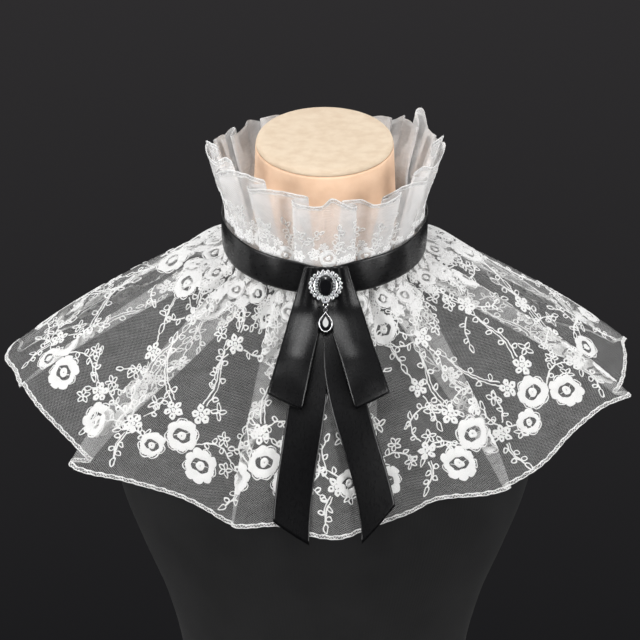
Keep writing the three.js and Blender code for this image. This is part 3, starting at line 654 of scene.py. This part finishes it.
def sprig(work, points, loops, tip=6.5):  # one cord with leaves
    line = smoothLine(points)
    work.cord(line, 1.1)
    ahead = np.gradient(line, axis=0)
    leaf(work, *line[-1], heading(ahead[-1]), tip, tip * 0.5)
    for k in range(loops):
        i = int(len(line) * (k + 1.2) / (loops + 1.2))
        way = 1 if k % 2 else -1
        leaf(work, *line[i], heading(ahead[i]) + way * 58, 4.6, 3.4, 0.6)


# each spray's motifs in its own millimetres: kind, place, size and so on
clusterSpray = [  # three blooms with daisies, long twigs above and sprigs to both sides
    (bloom, 0, 0, 14, 8, 0.2), (bloom, 20, 14, 11, 7, 0.5), (bloom, -22, 17, 14.5, 9, 0),
    (daisy, -9, -21, 8.5, 6, 10), (daisy, 14, -17, 8, 6, 30),
    (twig, [(-9, -29), (-13, -46), (-9, -64), (-8, -76)], 6, 3.4),
    (twig, [(17, -24), (28, -36), (37, -52), (40, -66)], 5, 3),
    (clover, -22, -29, 6, 4, 20), (clover, 30, -19, 5.5, 4, 45),
    (sprig, [(-13, 3), (-24, -3), (-36, -4), (-46, 3)], 4), (clover, -34, -11, 5, 5, 0),
    (sprig, [(29, 9), (40, 5), (49, 8)], 3), (sprig, [(40, 5), (45, -7), (43, -16)], 2),
]
stemSpray = [  # a bloom above, and a stem with a daisy that ends in a forked sprig
    (bloom, 0, 0, 14, 9, 0.4), (bloom, 17, -17, 10, 7, 0.1),
    (sprig, [(-13, 6), (-24, 11), (-34, 10)], 3, 7.5),
    (twig, [(-2, 14), (-6, 25), (-9, 33)], 2, 1.6, 8.5), (sprig, [(-12, 41), (-15, 47)], 0, 0.6),
    (daisy, -18, 54, 8, 6, 0), (sprig, [(-21, 62), (-25, 70), (-28, 84)], 3, 8),
    (sprig, [(-25, 70), (-36, 71), (-46, 78)], 3, 6.5), (sprig, [(-25, 70), (-14, 73), (-5, 79)], 2, 6.5),
    (clover, -34, -10, 5.5, 4, 45), (daisy, -19, -13, 7, 6, 15),
]
smallSpray = [  # a daisy with two short twigs
    (daisy, 0, 0, 8.5, 6, 0), (clover, 14, -8, 5.5, 5, 0),
    (twig, [(-3, -9), (-6, -20), (-3, -32)], 4, 2.4, 8),
    (sprig, [(6, 8), (14, 16), (17, 28)], 3, 7), (sprig, [(-8, 4), (-19, 9), (-27, 8)], 3, 6.5),
]
denseSpray = [  # small flowers close together, along the ribbon
    (bloom, 0, 0, 9.5, 7, 0.6), (daisy, 14, 4, 6.5, 6, 10), (daisy, 13, -9, 5.5, 6, 40),
    (daisy, 2, -14, 5.5, 6, 0), (daisy, -10, 11, 5.5, 6, 25), (clover, 9, 14, 5, 4, 20),
    (sprig, [(-4, 10), (-7, 18), (-5, 27)], 3, 6), (sprig, [(14, 11), (19, 18), (18, 25)], 2, 5),
]
ruffSpray = [
    (bloom, 0, 0, 8, 7, 0.3), (daisy, 12, 1, 6, 6, 0), (daisy, -12, -2, 5.5, 6, 20),
    (daisy, 6, 10, 4.5, 5, 30), (clover, -8, 10, 4.5, 4, 10), (sprig, [(-3, 8), (-6, 17), (-4, 27)], 4, 6),
    (sprig, [(14, 8), (16, 16), (12, 22)], 3, 5),
]
ruffSprayTop = [(clover, -5, 34, 5, 5, 10), (daisy, 7, 24, 5, 6, 15)]  # on every other spray


def drawSpray(spray, *placing):
    work = Placed(*placing)
    for motif, *values in spray:
        motif(work, *values)


def wobbled(spots):  # threads never run quite true
    x, y = spots[:, 0], spots[:, 1]
    aside = 0.32 * np.sin(0.83 * y + 0.21 * x) + 0.2 * np.sin(1.37 * x + 0.4 * y)
    down = 0.32 * np.sin(0.77 * x - 0.26 * y + 2) + 0.2 * np.sin(1.49 * y + 0.5 * x)
    return x + aside, y + down


def stitchMesh(name, stitches, cloth, material):
    spots = np.concatenate(stitches.spots)
    points = onCloth(cloth, *wobbled(spots), spots[:, 2])
    faces = np.concatenate(stitches.faces)
    print("%s: %d triangles" % (name, 2 * len(faces)))
    return finish(makeMesh(name, points, faces, np.concatenate(stitches.places)), material, "net")


# how often the sprays repeat and how far below the ribbon's middle they lie
capeEmbroidery = {"repeat": 93, "low": 150, "small": 158, "middle": 66, "high": 52, "dense": 27, "seed": 5}
ruffEmbroidery = {"repeat": 34, "low": 15, "seed": 11}


def embroiderCape():
    look = capeEmbroidery
    draw = random.Random(look["seed"])
    layers = {"Flowers": Stitches(), "Stems": Stitches()}
    length = capeCloth["length"]
    count = round(length / look["repeat"])

    def near(value, away):
        return value + draw.uniform(-away, away)

    for k in range(count):
        x = (k + 0.5) * length / count
        flip = 1 if k % 2 else -1
        drawSpray(clusterSpray, layers, near(x, 5), near(look["low"], 4), near(0, 12), flip)
        seam = near(k * length / count, 4)
        if k:
            drawSpray(stemSpray, layers, seam, near(look["high"], 3), near(0, 10), -flip)
            drawSpray(smallSpray, layers, seam + 8, near(look["small"], 4), near(180, 30), flip, 0.92)
        drawSpray(smallSpray, layers, x - 14 * flip, near(look["middle"], 4), near(0, 30), flip)
        for j in (-1.5, -0.5, 0.5, 1.5):
            aside = x + j * length / count / 4
            drawSpray(denseSpray, layers, aside, near(look["dense"], 4), near(0, 25), -flip)
    return [stitchMesh("cape" + kind, layers[kind], capeCloth, thread) for kind in layers]


def embroiderRuff():
    draw = random.Random(ruffEmbroidery["seed"])
    layers = {"Flowers": Stitches(), "Stems": Stitches()}
    length = ruffCloth["length"]
    count = round(length / ruffEmbroidery["repeat"])
    for k in range(count):
        x = (k + 0.5) * length / count + draw.uniform(-3, 3)
        y = ruffEmbroidery["low"] + draw.uniform(-2, 2)
        spray = ruffSpray + (ruffSprayTop if k % 2 else [])
        drawSpray(spray, layers, x, y, draw.uniform(-10, 10), 1 if k % 2 else -1)
    return [stitchMesh("ruff" + kind, layers[kind], ruffCloth, litRuffThread) for kind in layers]


braid = {"start": 0.6, "railStep": 1.5, "railAt": 0.37, "railWide": 0.26, "barAt": 0.36, "barWide": 1.0}


def braidEdge(name, cloth, down, width, step, material):  # close slanted bars between two rails, along a row
    stitches = Stitches()
    start, end = braid["start"], cloth["length"] - braid["start"]
    x = np.arange(start, end, braid["railStep"])
    for side in (-1, 1):
        rail = pair(x, np.full_like(x, down + side * width * braid["railAt"]))
        stitches.cord(rail, width * braid["railWide"])
    x = np.arange(start, end, step)
    y = down + width * braid["barAt"] * (1 - 2 * (np.arange(len(x)) % 2))
    stitches.cord(pair(x, y), braid["barWide"], False, 0.45)
    return stitchMesh(name, stitches, cloth, material)


capeStitches = embroiderCape()
ruffStitches = embroiderRuff()
capeEdge = braidEdge("capeEdging", capeCloth, 198.3, 3.4, 1.25, thread)
ruffEdge = braidEdge("ruffEdging", ruffCloth, 67.9, 4.2, 1.05, litRuffThread)


# ribbon: band, bow and button
def ribbonWall(name, points, places, thickness, nodeName):  # a thin closed wall around a grid of points
    rows, columns = points.shape[:2]
    back = rows * columns
    normal = unit(np.cross(np.gradient(points, axis=1), np.gradient(points, axis=0)))
    faces = [gridFaces(rows, columns), gridFaces(rows, columns, back)[:, ::-1]]
    rim = np.concatenate([np.arange(columns), np.arange(1, rows) * columns + columns - 1,
                          (rows - 1) * columns + np.arange(columns - 2, -1, -1),
                          np.arange(rows - 2, 0, -1) * columns])
    ahead = np.roll(rim, -1)
    faces.append(np.stack([rim, rim + back, ahead + back, ahead], -1))
    walls = np.concatenate([points - normal * thickness / 2, points + normal * thickness / 2]).reshape(-1, 3)
    smooth = np.arange(sum(len(part) for part in faces)) < 2 * len(faces[0])  # the cut edges stay crisp
    places = np.concatenate([places.reshape(-1, 2)] * 2) * mm
    return finish(makeMesh(name, walls, np.concatenate(faces), places, smooth), satin, "satin", nodeName)


band = {"height": 25, "radius": 80.7, "lapFrom": 150, "lapTo": 168, "end": 190, "lapOut": 1.8,
        "pinch": 4.0, "pinchWide": 12, "wall": 0.3, "crown": 0.35, "waves": (0.25, 0.2)}


def makeBand():
    phi, t = np.meshgrid(np.linspace(-band["end"], band["end"], 320) * deg, np.linspace(1, -1, 15))
    lap = band["lapOut"] * ease((phi / deg - band["lapFrom"]) / (band["lapTo"] - band["lapFrom"]))
    pinch = band["pinch"] * np.exp(-(phi / deg / band["pinchWide"]) ** 2)  # narrower and lower under the bow
    half = band["height"] / 2 - pinch / 2
    crown = 1 - t * t
    soft = band["waves"][0] * np.sin(9 * phi + 1) * t + band["waves"][1] * np.sin(23 * phi) * crown
    radius = band["radius"] + lap + soft + band["crown"] * crown
    points = around(phi, radius, neckHeight(phi) - pinch / 3 + half * t)
    places = pair(phi * band["radius"], t * band["height"] / 2)
    return ribbonWall("ribbonBand", points, places, band["wall"], "band")


ribbons = {"ribbonBand": makeBand()}

# s is the distance below the ribbon's middle, heights are off the cape's smooth form
bow = {
    "level": [(4, 2.9), (13, 3.4), (48, 9.7), (200, 10.2)], "layer": 1.4, "wall": 0.25,
    "tails": {  # solid, line of the middle, width, lengths of the two edges, layer
        "bowTailLeft": ("bow_tail_left", [(4, -5), (60, -11), (200, -26)], 29, (187, 202), 0),
        "bowTailRight": ("bow_tail_right", [(4, 5), (60, 13), (200, 42)], 28, (202, 177), 1),
    },
    "tailStart": 5, "tailTop": 0.62, "fullWidth": 55, "wave": 0.7,
    "loops": {  # solid, the two edges (place down, place to the side), length and how much the end slants
        "bowLoopLeft": ("bow_loop_left", [(-10, -15.4), (120, -51)],
                        [(-10, -1.2), (32, -1.2), (120, -23)], 99, 8),
        "bowLoopRight": ("bow_loop_right", [(-10, 1.2), (32, 1.2), (120, 31)],
                         [(-10, 17.3), (120, 57)], 99, -8),
    },
    "loopStart": 3, "loopKnee": 48, "loopTop": (-0.5, -10), "loopWidth": 27, "across": 19,
    "puff": [(12, 1.7), (26, 2.9), (34, 3.0), (40, 2.3), (48, 2.2), (62, 4.6), (84, 5.4), (100, 4.6)],
    "puffEdge": 0.5, "crownFrom": 40,
    "overBand": [(1, 7.3), (5, 6.2), (10, 5)],
    "bridge": [(-8, 0), (0, 1.0), (6, 2.8), (12, 4.4), (20, 3.8), (27, 1.8), (33, 0)],  # taut under the band
    "bridgeFrom": 10, "gather": 0.16, "gatherEnd": 26, "softer": 24,
}


def bowPoint(x, s, out):
    radius = capeForm(0 * s, s)[0]
    return capePoint(np.arcsin(x / (radius + out)), s, out)


def gathers(share, s, size, lift=0):  # small lengthwise folds where the ribbon is gathered
    return size * np.exp(-s / bow["gatherEnd"]) * (lift + np.cos(share * 21 + 0.6) + 0.4 * np.sin(share * 37))


def makeTail(name, nodeName, middle, width, cut, layer):
    t, share = np.meshgrid(np.linspace(0, 1, 60), np.linspace(-0.5, 0.5, bow["across"]), indexing="ij")
    s = mix(bow["tailStart"], mix(*cut, share + 0.5), t)
    wide = width * mix(bow["tailTop"], 1, ease((s - bow["tailStart"]) / bow["fullWidth"]))
    out = fromRows(bow["level"], s) + layer * bow["layer"] + gathers(share, s, bow["gather"] * 0.5)
    out = out + bow["wave"] * np.sin(s / 15 - 0.6 + share) * ease((s - 40) / 90)
    points = bowPoint(fromRows(middle, s) + share * wide, s, out)
    return ribbonWall(name, points, pair(s, share * width), bow["wall"], nodeName)


def makeLoop(name, nodeName, left, right, length, slant):
    # rows run down the back layer, around the end, up the front layer and over the band
    half = float(fromRows(bow["puff"], length)) / 2
    start = length - half
    down = np.concatenate([np.linspace(bow["loopStart"], bow["loopKnee"], 22),
                           np.linspace(bow["loopKnee"] + 4, start, 18)])
    up = down[::-1]
    turn = np.linspace(172, 8, 13) * deg
    top = np.linspace(*bow["loopTop"], 8)
    s = np.concatenate([down, start + half * np.sin(turn), up, top])
    puff = np.concatenate([0 * down, half + half * np.cos(turn), fromRows(bow["puff"], up)])
    crowned = np.concatenate([0 * down, 0 * turn, ease((length - up) / bow["crownFrom"]), 0 * top])
    base = fromRows(bow["level"], s) + 2 * bow["layer"]
    level = np.concatenate([base[:len(puff)] + puff, np.interp(-top, *zip(*bow["overBand"]))])
    puff = np.concatenate([puff, 0 * top])
    s, share = np.meshgrid(s, np.linspace(0, 1, bow["across"]), indexing="ij")
    run = np.concatenate([[0], np.cumsum(np.hypot(np.diff(s[:, 0]), np.diff(level)))])[:, None]
    turnEnd = len(down) + 6
    row = np.arange(len(s))[:, None]
    flatter = (puff * crowned)[:, None] * (1 - bow["puffEdge"]) * (1 - np.sin(math.pi * share))
    folds = np.where(row > turnEnd, 1, 0.2) * gathers(share - 0.5, s, bow["gather"], 1.4)
    sides = [np.interp(s, *zip(*edge)) for edge in (left, right)]
    inner = (1 - share if left[0][1] < right[0][1] < 0 else share) * (sides[1] - sides[0])
    taut = ease(inner / bow["bridgeFrom"]) * np.interp(s, *zip(*bow["bridge"]))
    out = level[:, None] - flatter + folds + taut * ease((row - turnEnd) / 6)
    drop = slant * (share - 0.5) * ease((s - bow["loopKnee"]) / (length - bow["loopKnee"]))
    points = bowPoint(mix(*sides, share), s + drop, out)
    bend = slice(turnEnd + 20, len(points) - 1)  # the front layer rounds the corner under the band
    for step in range(bow["softer"]):
        points[bend] = (points[bend.start - 1:-2] + 2 * points[bend] + points[bend.start + 1:]) / 4
    return ribbonWall(name, points, pair(0 * share + run, share * bow["loopWidth"]), bow["wall"], nodeName)


for name, facts in bow["tails"].items():
    ribbons[name] = makeTail(name, *facts)
for name, facts in bow["loops"].items():
    ribbons[name] = makeLoop(name, *facts)


def turned(rings, sides, centre=(0, 0, 0)):  # a closed round solid from (radius, height) rows
    x, y = circle(turns(sides)).T
    points = [np.stack([r * x, r * y, np.full(sides, h)], -1) for r, h in rings]
    return np.concatenate(points) + np.array(centre), gridFaces(len(rings), sides, 0, True)


button = {"profile": [(0.01, 0), (4.2, 0), (4.5, 0.5), (4.4, 1.6), (3.4, 2.3), (1.6, 2.6), (0.01, 2.7)],
          "off": 0.9}


def makeButton():
    points, faces = turned(button["profile"], 28)
    back = band["radius"] + band["lapOut"] + button["off"]
    z = float(neckHeight(np.array(math.pi)))
    points = np.stack([points[:, 0], back + points[:, 2], z + points[:, 1]], -1)
    piece = makeMesh("backButton", points, faces[:, ::-1], points[:, [0, 2]] * mm)
    finish(piece, satin, "satin", "back_button")


makeButton()
print("ribbons tied")

# the brooch: solids of revolution as (radius, height), ovals as (half width, half height, z)
brooch = {
    "place": (0.6, -88.7, 436), "lean": 17, "hang": (0, -16.1, 1.2), "tilt": 20,
    "plate": [(11.0, 10.0, 0), (11.6, 10.6, 0.4), (11.6, 10.6, 1.2), (11.0, 10.0, 1.6)],
    "crystals": 20, "ring": (11.4, 10.4), "crystal": 1.395, "crystalAt": 2.1,
    "cup": [(1.6, 1.6, 0.9), (1.6, 1.6, 1.8), (1.3, 1.3, 1.9)],
    "claw": [(0.3, 0), (0.34, 0.9), (0.2, 1.3), (0.01, 1.35)], "claws": (-0.5, 0.5, 2.64, 3.64),
    "clawOut": 1.45, "clawAt": 1.5,
    "innerCrystals": 26, "innerRing": (7.719, 8.928), "innerCrystal": 0.95, "innerAt": 2.5,
    "step": [(8.9, 9.5, 1.5), (8.9, 9.5, 2.1), (8.5, 9.1, 2.3)],
    "beads": 22, "beadRing": (6.2, 8.4), "beadAt": 3.0,
    "bead": [(0.01, -0.5), (0.4, -0.3), (0.55, 0), (0.4, 0.35), (0.01, 0.5)],
    "collar": [(6.0, 8.2, 2.2), (6.0, 8.2, 3.2), (5.7, 7.9, 3.5), (5.4, 7.6, 3.0)],
    "links": [(-1.65, -11.7, 1.1), (1.65, -11.7, 1.1), (0, -12.6, 0.78)], "linkRim": 0.25, "linkAt": 1.7,
    "jumpRing": (1.7, (0, -14.4, 1.2)),
    "stone": (5.5, 7.7), "cut": [(0.9, 0.9, 2.4, 0), (1, 1, 3.3, 0), (1, 1, 3.5, 0), (0.8, 0.82, 4.5, 1),
                                 (0.55, 0.6, 5.0, 0)],
}
drop = {
    "length": 16.6, "half": 5.6, "top": 3.5, "ring": (1.3, (0, -2.4, 0)), "bail": (1.6, (0, -0.55, 0)),
    "rim": [(0.3, -1.2), (0, -0.8), (0, 0.8), (0.3, 1.15), (0.5, 1.15), (0.8, 0.5), (0.85, -0.2)],
    "stone": [(0.9, -0.1), (0.9, 0.8), (2.4, 2.1), (3.3, 2.35)],
}
wire = 0.36
facets = 16


def leaning(place, degrees):
    return Matrix.Translation(Vector(place)) @ Matrix.Rotation(degrees * deg, 4, "X")


broochTurn = leaning(brooch["place"], 90 - brooch["lean"])
dropTurn = broochTurn @ leaning(brooch["hang"], -brooch["tilt"])


class Jewel:  # gathers many small solids into one piece
    def __init__(self):
        self.points, self.faces, self.count = [], [], 0

    def add(self, points, faces):
        self.points.append(np.asarray(points, float))
        self.faces += [[self.count + i for i in face] for face in faces]
        self.count += len(points)

    def loft(self, rings):  # rings of equally many points, lowest first, closed at both ends
        n, points = len(rings[0]), np.concatenate(rings)
        caps = [list(range(n))[::-1], list(range(len(points) - n, len(points)))]
        self.add(points, gridFaces(len(rings), n, 0, True).tolist() + caps)

    def ovals(self, rows, sides=32, centre=(0, 0)):
        self.loft([oval(rx, ry, z, sides, 0, centre) for rx, ry, z in rows])

    def turnedAt(self, rows, sides, place):
        points, faces = turned(rows, sides, place)
        self.add(points, faces.tolist())

    def make(self, name, turn, material, slotName, nodes=(), body="collar_on_form", smooth=False):
        m = np.array(turn)
        points = np.concatenate(self.points) @ m[:3, :3].T + m[:3, 3]
        piece = makeMesh(name, points, self.faces, smooth=smooth, body=body)
        return finish(piece, material, slotName, *nodes)


def oval(rx, ry, z, sides, start=0.0, centre=(0, 0)):
    t = turns(sides) + start
    return np.stack([centre[0] + rx * np.cos(t), centre[1] + ry * np.sin(t), np.full(sides, z)], -1)


def torus(radius, place, sides=28, across=8):
    a, b = np.meshgrid(turns(sides), turns(across), indexing="ij")
    r = radius + wire * np.cos(b)
    points = np.stack([r * np.cos(a), r * np.sin(a), wire * np.sin(b)], -1).reshape(-1, 3)
    i, j = np.meshgrid(np.arange(sides), np.arange(across), indexing="ij")
    corners = [((i + p) % sides) * across + (j + q) % across for p, q in ((0, 0), (1, 0), (1, 1), (0, 1))]
    return points, np.array(place), np.stack(corners, -1).reshape(-1, 4)


def gem(jewel, x, y, z, r, start=0.0, sides=8):  # round cut stone: girdle, crown and table
    rows = [(0.55, -0.45, 0), (1, 0, 0), (1, 0.12, 0), (0.56, 0.52, math.pi / sides)]
    jewel.loft([oval(r * wide, r * wide, z + r * up, sides, start + turn, (x, y)) for wide, up, turn in rows])


def makeBrooch():
    plate, gems, stone = Jewel(), Jewel(), Jewel()
    plate.ovals(brooch["plate"])
    for a in turns(brooch["crystals"]) + math.pi / brooch["crystals"]:
        x, y = brooch["ring"] * circle(a)
        plate.ovals(brooch["cup"], 12, (x, y))
        gem(gems, x, y, brooch["crystalAt"], brooch["crystal"], a)
        for claw in brooch["claws"]:
            place = np.array([x, y]) + brooch["clawOut"] * circle(a + claw)
            plate.turnedAt(brooch["claw"], 6, (*place, brooch["clawAt"]))
    for a in turns(brooch["innerCrystals"]):
        gem(gems, *brooch["innerRing"] * circle(a), brooch["innerAt"], brooch["innerCrystal"], a)
    plate.ovals(brooch["step"])
    for a in turns(brooch["beads"]):  # beaded collar around the stone
        plate.turnedAt(brooch["bead"], 8, (*brooch["beadRing"] * circle(a), brooch["beadAt"]))
    plate.ovals(brooch["collar"])
    for x, y, r in brooch["links"]:
        rim = r + brooch["linkRim"]
        plate.ovals([(rim, rim, 0.5), (rim, rim, 1.5)], 10, (x, y))
        gem(gems, x, y, brooch["linkAt"], r)
    points, place, faces = torus(*brooch["jumpRing"])
    plate.add(points + place, faces.tolist())
    sx, sy = brooch["stone"]
    stone.loft([oval(sx * wide, sy * high, z, facets, math.pi / facets * turn)
                for wide, high, z, turn in brooch["cut"]])
    plate.make("broochSetting", broochTurn, silver, "silver", ["brooch_setting"])
    gems.make("broochCrystals", broochTurn, crystal, "silver")
    stone.make("broochStone", broochTurn, blackStone, "black_stone", ["brooch_stone"])


def tear(inset, z, sides=32):
    t = turns(sides) + math.pi / 2
    down = (1 - np.sin(t)) / 2
    wide = np.cos(t) * np.sin(math.pi / 2 * np.minimum(1, down * 1.5)) ** 0.9
    low = -(drop["top"] + 1.4 * inset) - (drop["length"] - 2.4 * inset) * down
    return np.stack([(drop["half"] - inset) * wide, low, np.full(sides, z)], -1)


def makeDrop():
    setting, stone, bail = Jewel(), Jewel(), Jewel()
    setting.loft([tear(*row) for row in drop["rim"]])
    points, place, faces = torus(*drop["ring"])
    setting.add(points + place, faces.tolist())
    stone.loft([tear(*row, facets) for row in drop["stone"]])
    points, place, faces = torus(*drop["bail"])
    bail.add(points[:, [2, 1, 0]] + place, faces[:, ::-1].tolist())
    setting.make("dropSetting", dropTurn, silver, "silver", ["drop_setting"], "drop")
    stone.make("dropStone", dropTurn, blackStone, "black_stone", ["drop_stone"], "drop")
    bail.make("bailRing", dropTurn, silver, "silver", ["bail"], "bail", True)


makeBrooch()
makeDrop()
print("brooch set")

# the dress form
form = {
    "sides": 128, "squareness": 2.2,
    "torso": [  # height, half width, depth to the front, depth to the back
        (0, 130, 94, 86), (80, 118, 82, 76), (140, 130, 92, 80), (195, 150, 112, 92), (235, 164, 121, 100),
        (270, 172, 122, 104), (300, 178, 117, 107), (330, 182, 106, 109), (350, 183, 96, 106),
        (370, 178, 83, 101), (383, 168, 74, 96), (393, 154, 68, 91), (402, 136, 64, 87), (410, 112, 64.5, 82),
        (417, 84, 59, 77), (424, 71, 58, 71), (431, 68, 58, 64),
    ],
    "neck": [  # height, radius, place to the back, tilt
        (431.3, 60, 0.5, 0), (440, 58.5, -0.5, 0), (465, 56.5, -2, 4), (495, 55, -5, 9),
        (524.5, 53.5, -8, 13.5),
    ],
    "capEdge": [  # in from the neck's radius, height
        (1.2, 0), (0.5, 0.15), (0.2, 0.7), (0.35, 1.8), (0.9, 3.1), (1.9, 4.2), (3.4, 4.9), (5.5, 5.3),
    ],
    "capTop": (0.85, 0.7, 0.5, 0.3, 0.1), "capCrown": (5.4, 1.6, 0.916), "capClear": 0.1, "threads": 60,
}


def spread(table, count):  # more rows between the rows of a table, on smooth curves
    table = np.array(table, float)
    at = np.concatenate([[0], np.cumsum(np.linalg.norm(np.diff(table, axis=0), axis=1))])
    fine = np.linspace(0, at[-1], count)
    slopes = np.gradient(table, at, axis=0)
    i = np.clip(np.searchsorted(at, fine) - 1, 0, len(at) - 2)
    h = (at[i + 1] - at[i])[:, None]
    t = ((fine - at[i])[:, None]) / h
    return ((2 * t ** 3 - 3 * t ** 2 + 1) * table[i] + (t ** 3 - 2 * t ** 2 + t) * h * slopes[i]
            + (3 * t ** 2 - 2 * t ** 3) * table[i + 1] + (t ** 3 - t ** 2) * h * slopes[i + 1])


def closedLoft(name, rings, material, slotName, nodeName):
    rings = np.asarray(rings)
    rows, sides = rings.shape[:2]
    points = np.concatenate([rings.reshape(-1, 3), rings[:1].mean(1), rings[-1:].mean(1)])
    side = np.arange(sides)
    after = (side + 1) % sides
    low, top = rows * sides, (rows - 1) * sides
    faces = gridFaces(rows, sides, 0, True).tolist()
    faces += np.stack([np.full(sides, low), after, side], -1).tolist()
    faces += np.stack([np.full(sides, low + 1), top + side, top + after], -1).tolist()
    run = np.concatenate([[0], np.cumsum(np.linalg.norm(np.diff(rings[:, 0], axis=0), axis=1))])
    across = np.linspace(0, 1, sides) * 2 * math.pi * form["threads"]
    places = np.stack(np.meshgrid(across, run), -1).reshape(-1, 2)
    places = np.concatenate([places, [[0, 0], [0, run[-1]]]]) * mm
    smooth = np.arange(len(faces)) < len(faces) - 2 * sides  # the flat ends stay flat
    finish(makeMesh(name, points, faces, places, smooth), material, slotName, nodeName)


def tiltedRing(radius, y, z, tilt, height=0.0):  # a round ring that leans to the front
    t = turns(form["sides"])
    c, s = math.cos(tilt * deg), math.sin(tilt * deg)
    back = radius * np.sin(t)
    return np.stack([radius * np.cos(t), y + back * c - height * s, z + back * s + height * c], -1)


def makeForm():
    x, y = circle(turns(form["sides"])).T
    wide, deep = (np.sign(v) * np.abs(v) ** (2 / form["squareness"]) for v in (x, y))
    torso = [np.stack([half * wide, np.where(y > 0, back, front) * deep, np.full(len(x), z)], -1)
             for z, half, front, back in spread(form["torso"], 90)]
    closedLoft("formTorso", torso, jersey, "jersey", "form_torso")
    neck = [tiltedRing(radius, y, z, tilt) for z, radius, y, tilt in spread(form["neck"], 40)]
    closedLoft("formNeck", neck, linen, "linen", "form_neck")
    z, radius, y, tilt = form["neck"][-1]
    crown, rise, edge = form["capCrown"]
    profile = [(radius - inward, height) for inward, height in form["capEdge"]]
    profile += [(radius * k, crown + rise * (1 - (k / edge) ** 2)) for k in form["capTop"]]
    cap = [tiltedRing(r, y, z, tilt, height + form["capClear"]) for r, height in profile]
    closedLoft("formCap", cap, capCotton, "cap_cotton", "form_cap")


makeForm()
print("dress form made")

# floor, light and camera, in metres
floorDisc = [(0.01, -6), (193, -6), (199, -5.6), (200, -4.5), (200, -2), (198.5, -0.5), (196, -0.02),
             (0.01, -0.02)]  # in millimetres
view = {"aim": (-0.0036, -0.0238, 0.3847), "distance": 1.7, "elevation": 20, "width": 0.505, "sensor": 36}
backdrop = {"low": (0.0105, 0.0105, 0.0115), "high": (0.030, 0.0285, 0.030), "from": (-0.5, -0.15),
            "soft": (0.97, 0.98, 1), "strength": (0.45, 1.0, 0.03, 0.6)}
studioLights = {  # place, size and power
    "keyLight": ((-0.35, -1.0, 2.1), (1.1, 0.8), 22),
    "leftLight": ((-1.6, -1.0, 0.65), (0.7, 1.0), 28),
    "rightLight": ((1.55, -1.08, 0.65), (0.7, 1.0), 28),
    "backLight": ((0.1, 1.0, 1.5), (1.0, 0.8), 9),
    "leftRim": ((-1.6, 0.45, 0.35), (0.5, 0.9), 3),
    "rightRim": ((1.6, 0.45, 0.35), (0.5, 0.9), 2.5),
}
lightAim = (0, 0, 0.42)


def makeFloor():
    points, faces = turned(floorDisc, 128)
    floor = makeMesh("floor", points, faces, body=None)
    paint, tree, shader = newMaterial("paleFloor", (0.62, 0.61, 0.6), "floor")
    addBump(tree, shader, noise(tree, 90.0, 3.0), 0.1, 0.0005)
    floor.data.materials.append(paint)


def addLight(name, place, size, power):
    data = bpy.data.lights.new(name, "AREA")
    data.shape = "RECTANGLE"
    data.size, data.size_y = size
    data.energy = power
    lamp = bpy.data.objects.new(name, data)
    lamp.location = place
    lamp.rotation_euler = (Vector(lightAim) - Vector(place)).to_track_quat("-Z", "Y").to_euler()
    scene.collection.objects.link(lamp)


def makeWorld():  # a dark backdrop for the camera, and soft light from above for everything else
    world = bpy.data.worlds.new("studio")
    scene.world = world
    world.use_nodes = True
    tree = world.node_tree
    tree.nodes.clear()
    place = node(tree, "ShaderNodeTexCoord")
    height = node(tree, "ShaderNodeSeparateXYZ", Vector=place.outputs["Generated"]).outputs[2]
    shade = mixColors(tree, mapRange(tree, height, *backdrop["from"]), backdrop["low"], backdrop["high"])
    dark = node(tree, "ShaderNodeBackground", Color=shade)
    soft = node(tree, "ShaderNodeBackground", Color=(*backdrop["soft"], 1),
                Strength=mapRange(tree, height, *backdrop["strength"]))
    both = node(tree, "ShaderNodeMixShader", Fac=node(tree, "ShaderNodeLightPath").outputs["Is Camera Ray"])
    tree.links.new(soft.outputs[0], both.inputs[1])
    tree.links.new(dark.outputs[0], both.inputs[2])
    node(tree, "ShaderNodeOutputWorld", Surface=both.outputs[0])


def makeCamera():
    data = bpy.data.cameras.new("camera")
    camera = bpy.data.objects.new("camera", data)
    scene.collection.objects.link(camera)
    up = view["elevation"] * deg
    camera.location = Vector(view["aim"]) + Vector((0, -math.cos(up), math.sin(up))) * view["distance"]
    camera.rotation_euler = (math.pi / 2 - up, 0, 0)
    data.sensor_width = view["sensor"]
    data.lens = view["sensor"] * view["distance"] / view["width"]
    data.dof.use_dof = False
    bpy.context.scene.camera = camera


makeFloor()
makeWorld()
makeCamera()
for name, (place, size, power) in studioLights.items():
    addLight(name, place, size, power)
scene.view_settings.view_transform = "Standard"
scene.cycles.transparent_max_bounces = 24
print("studio lit")
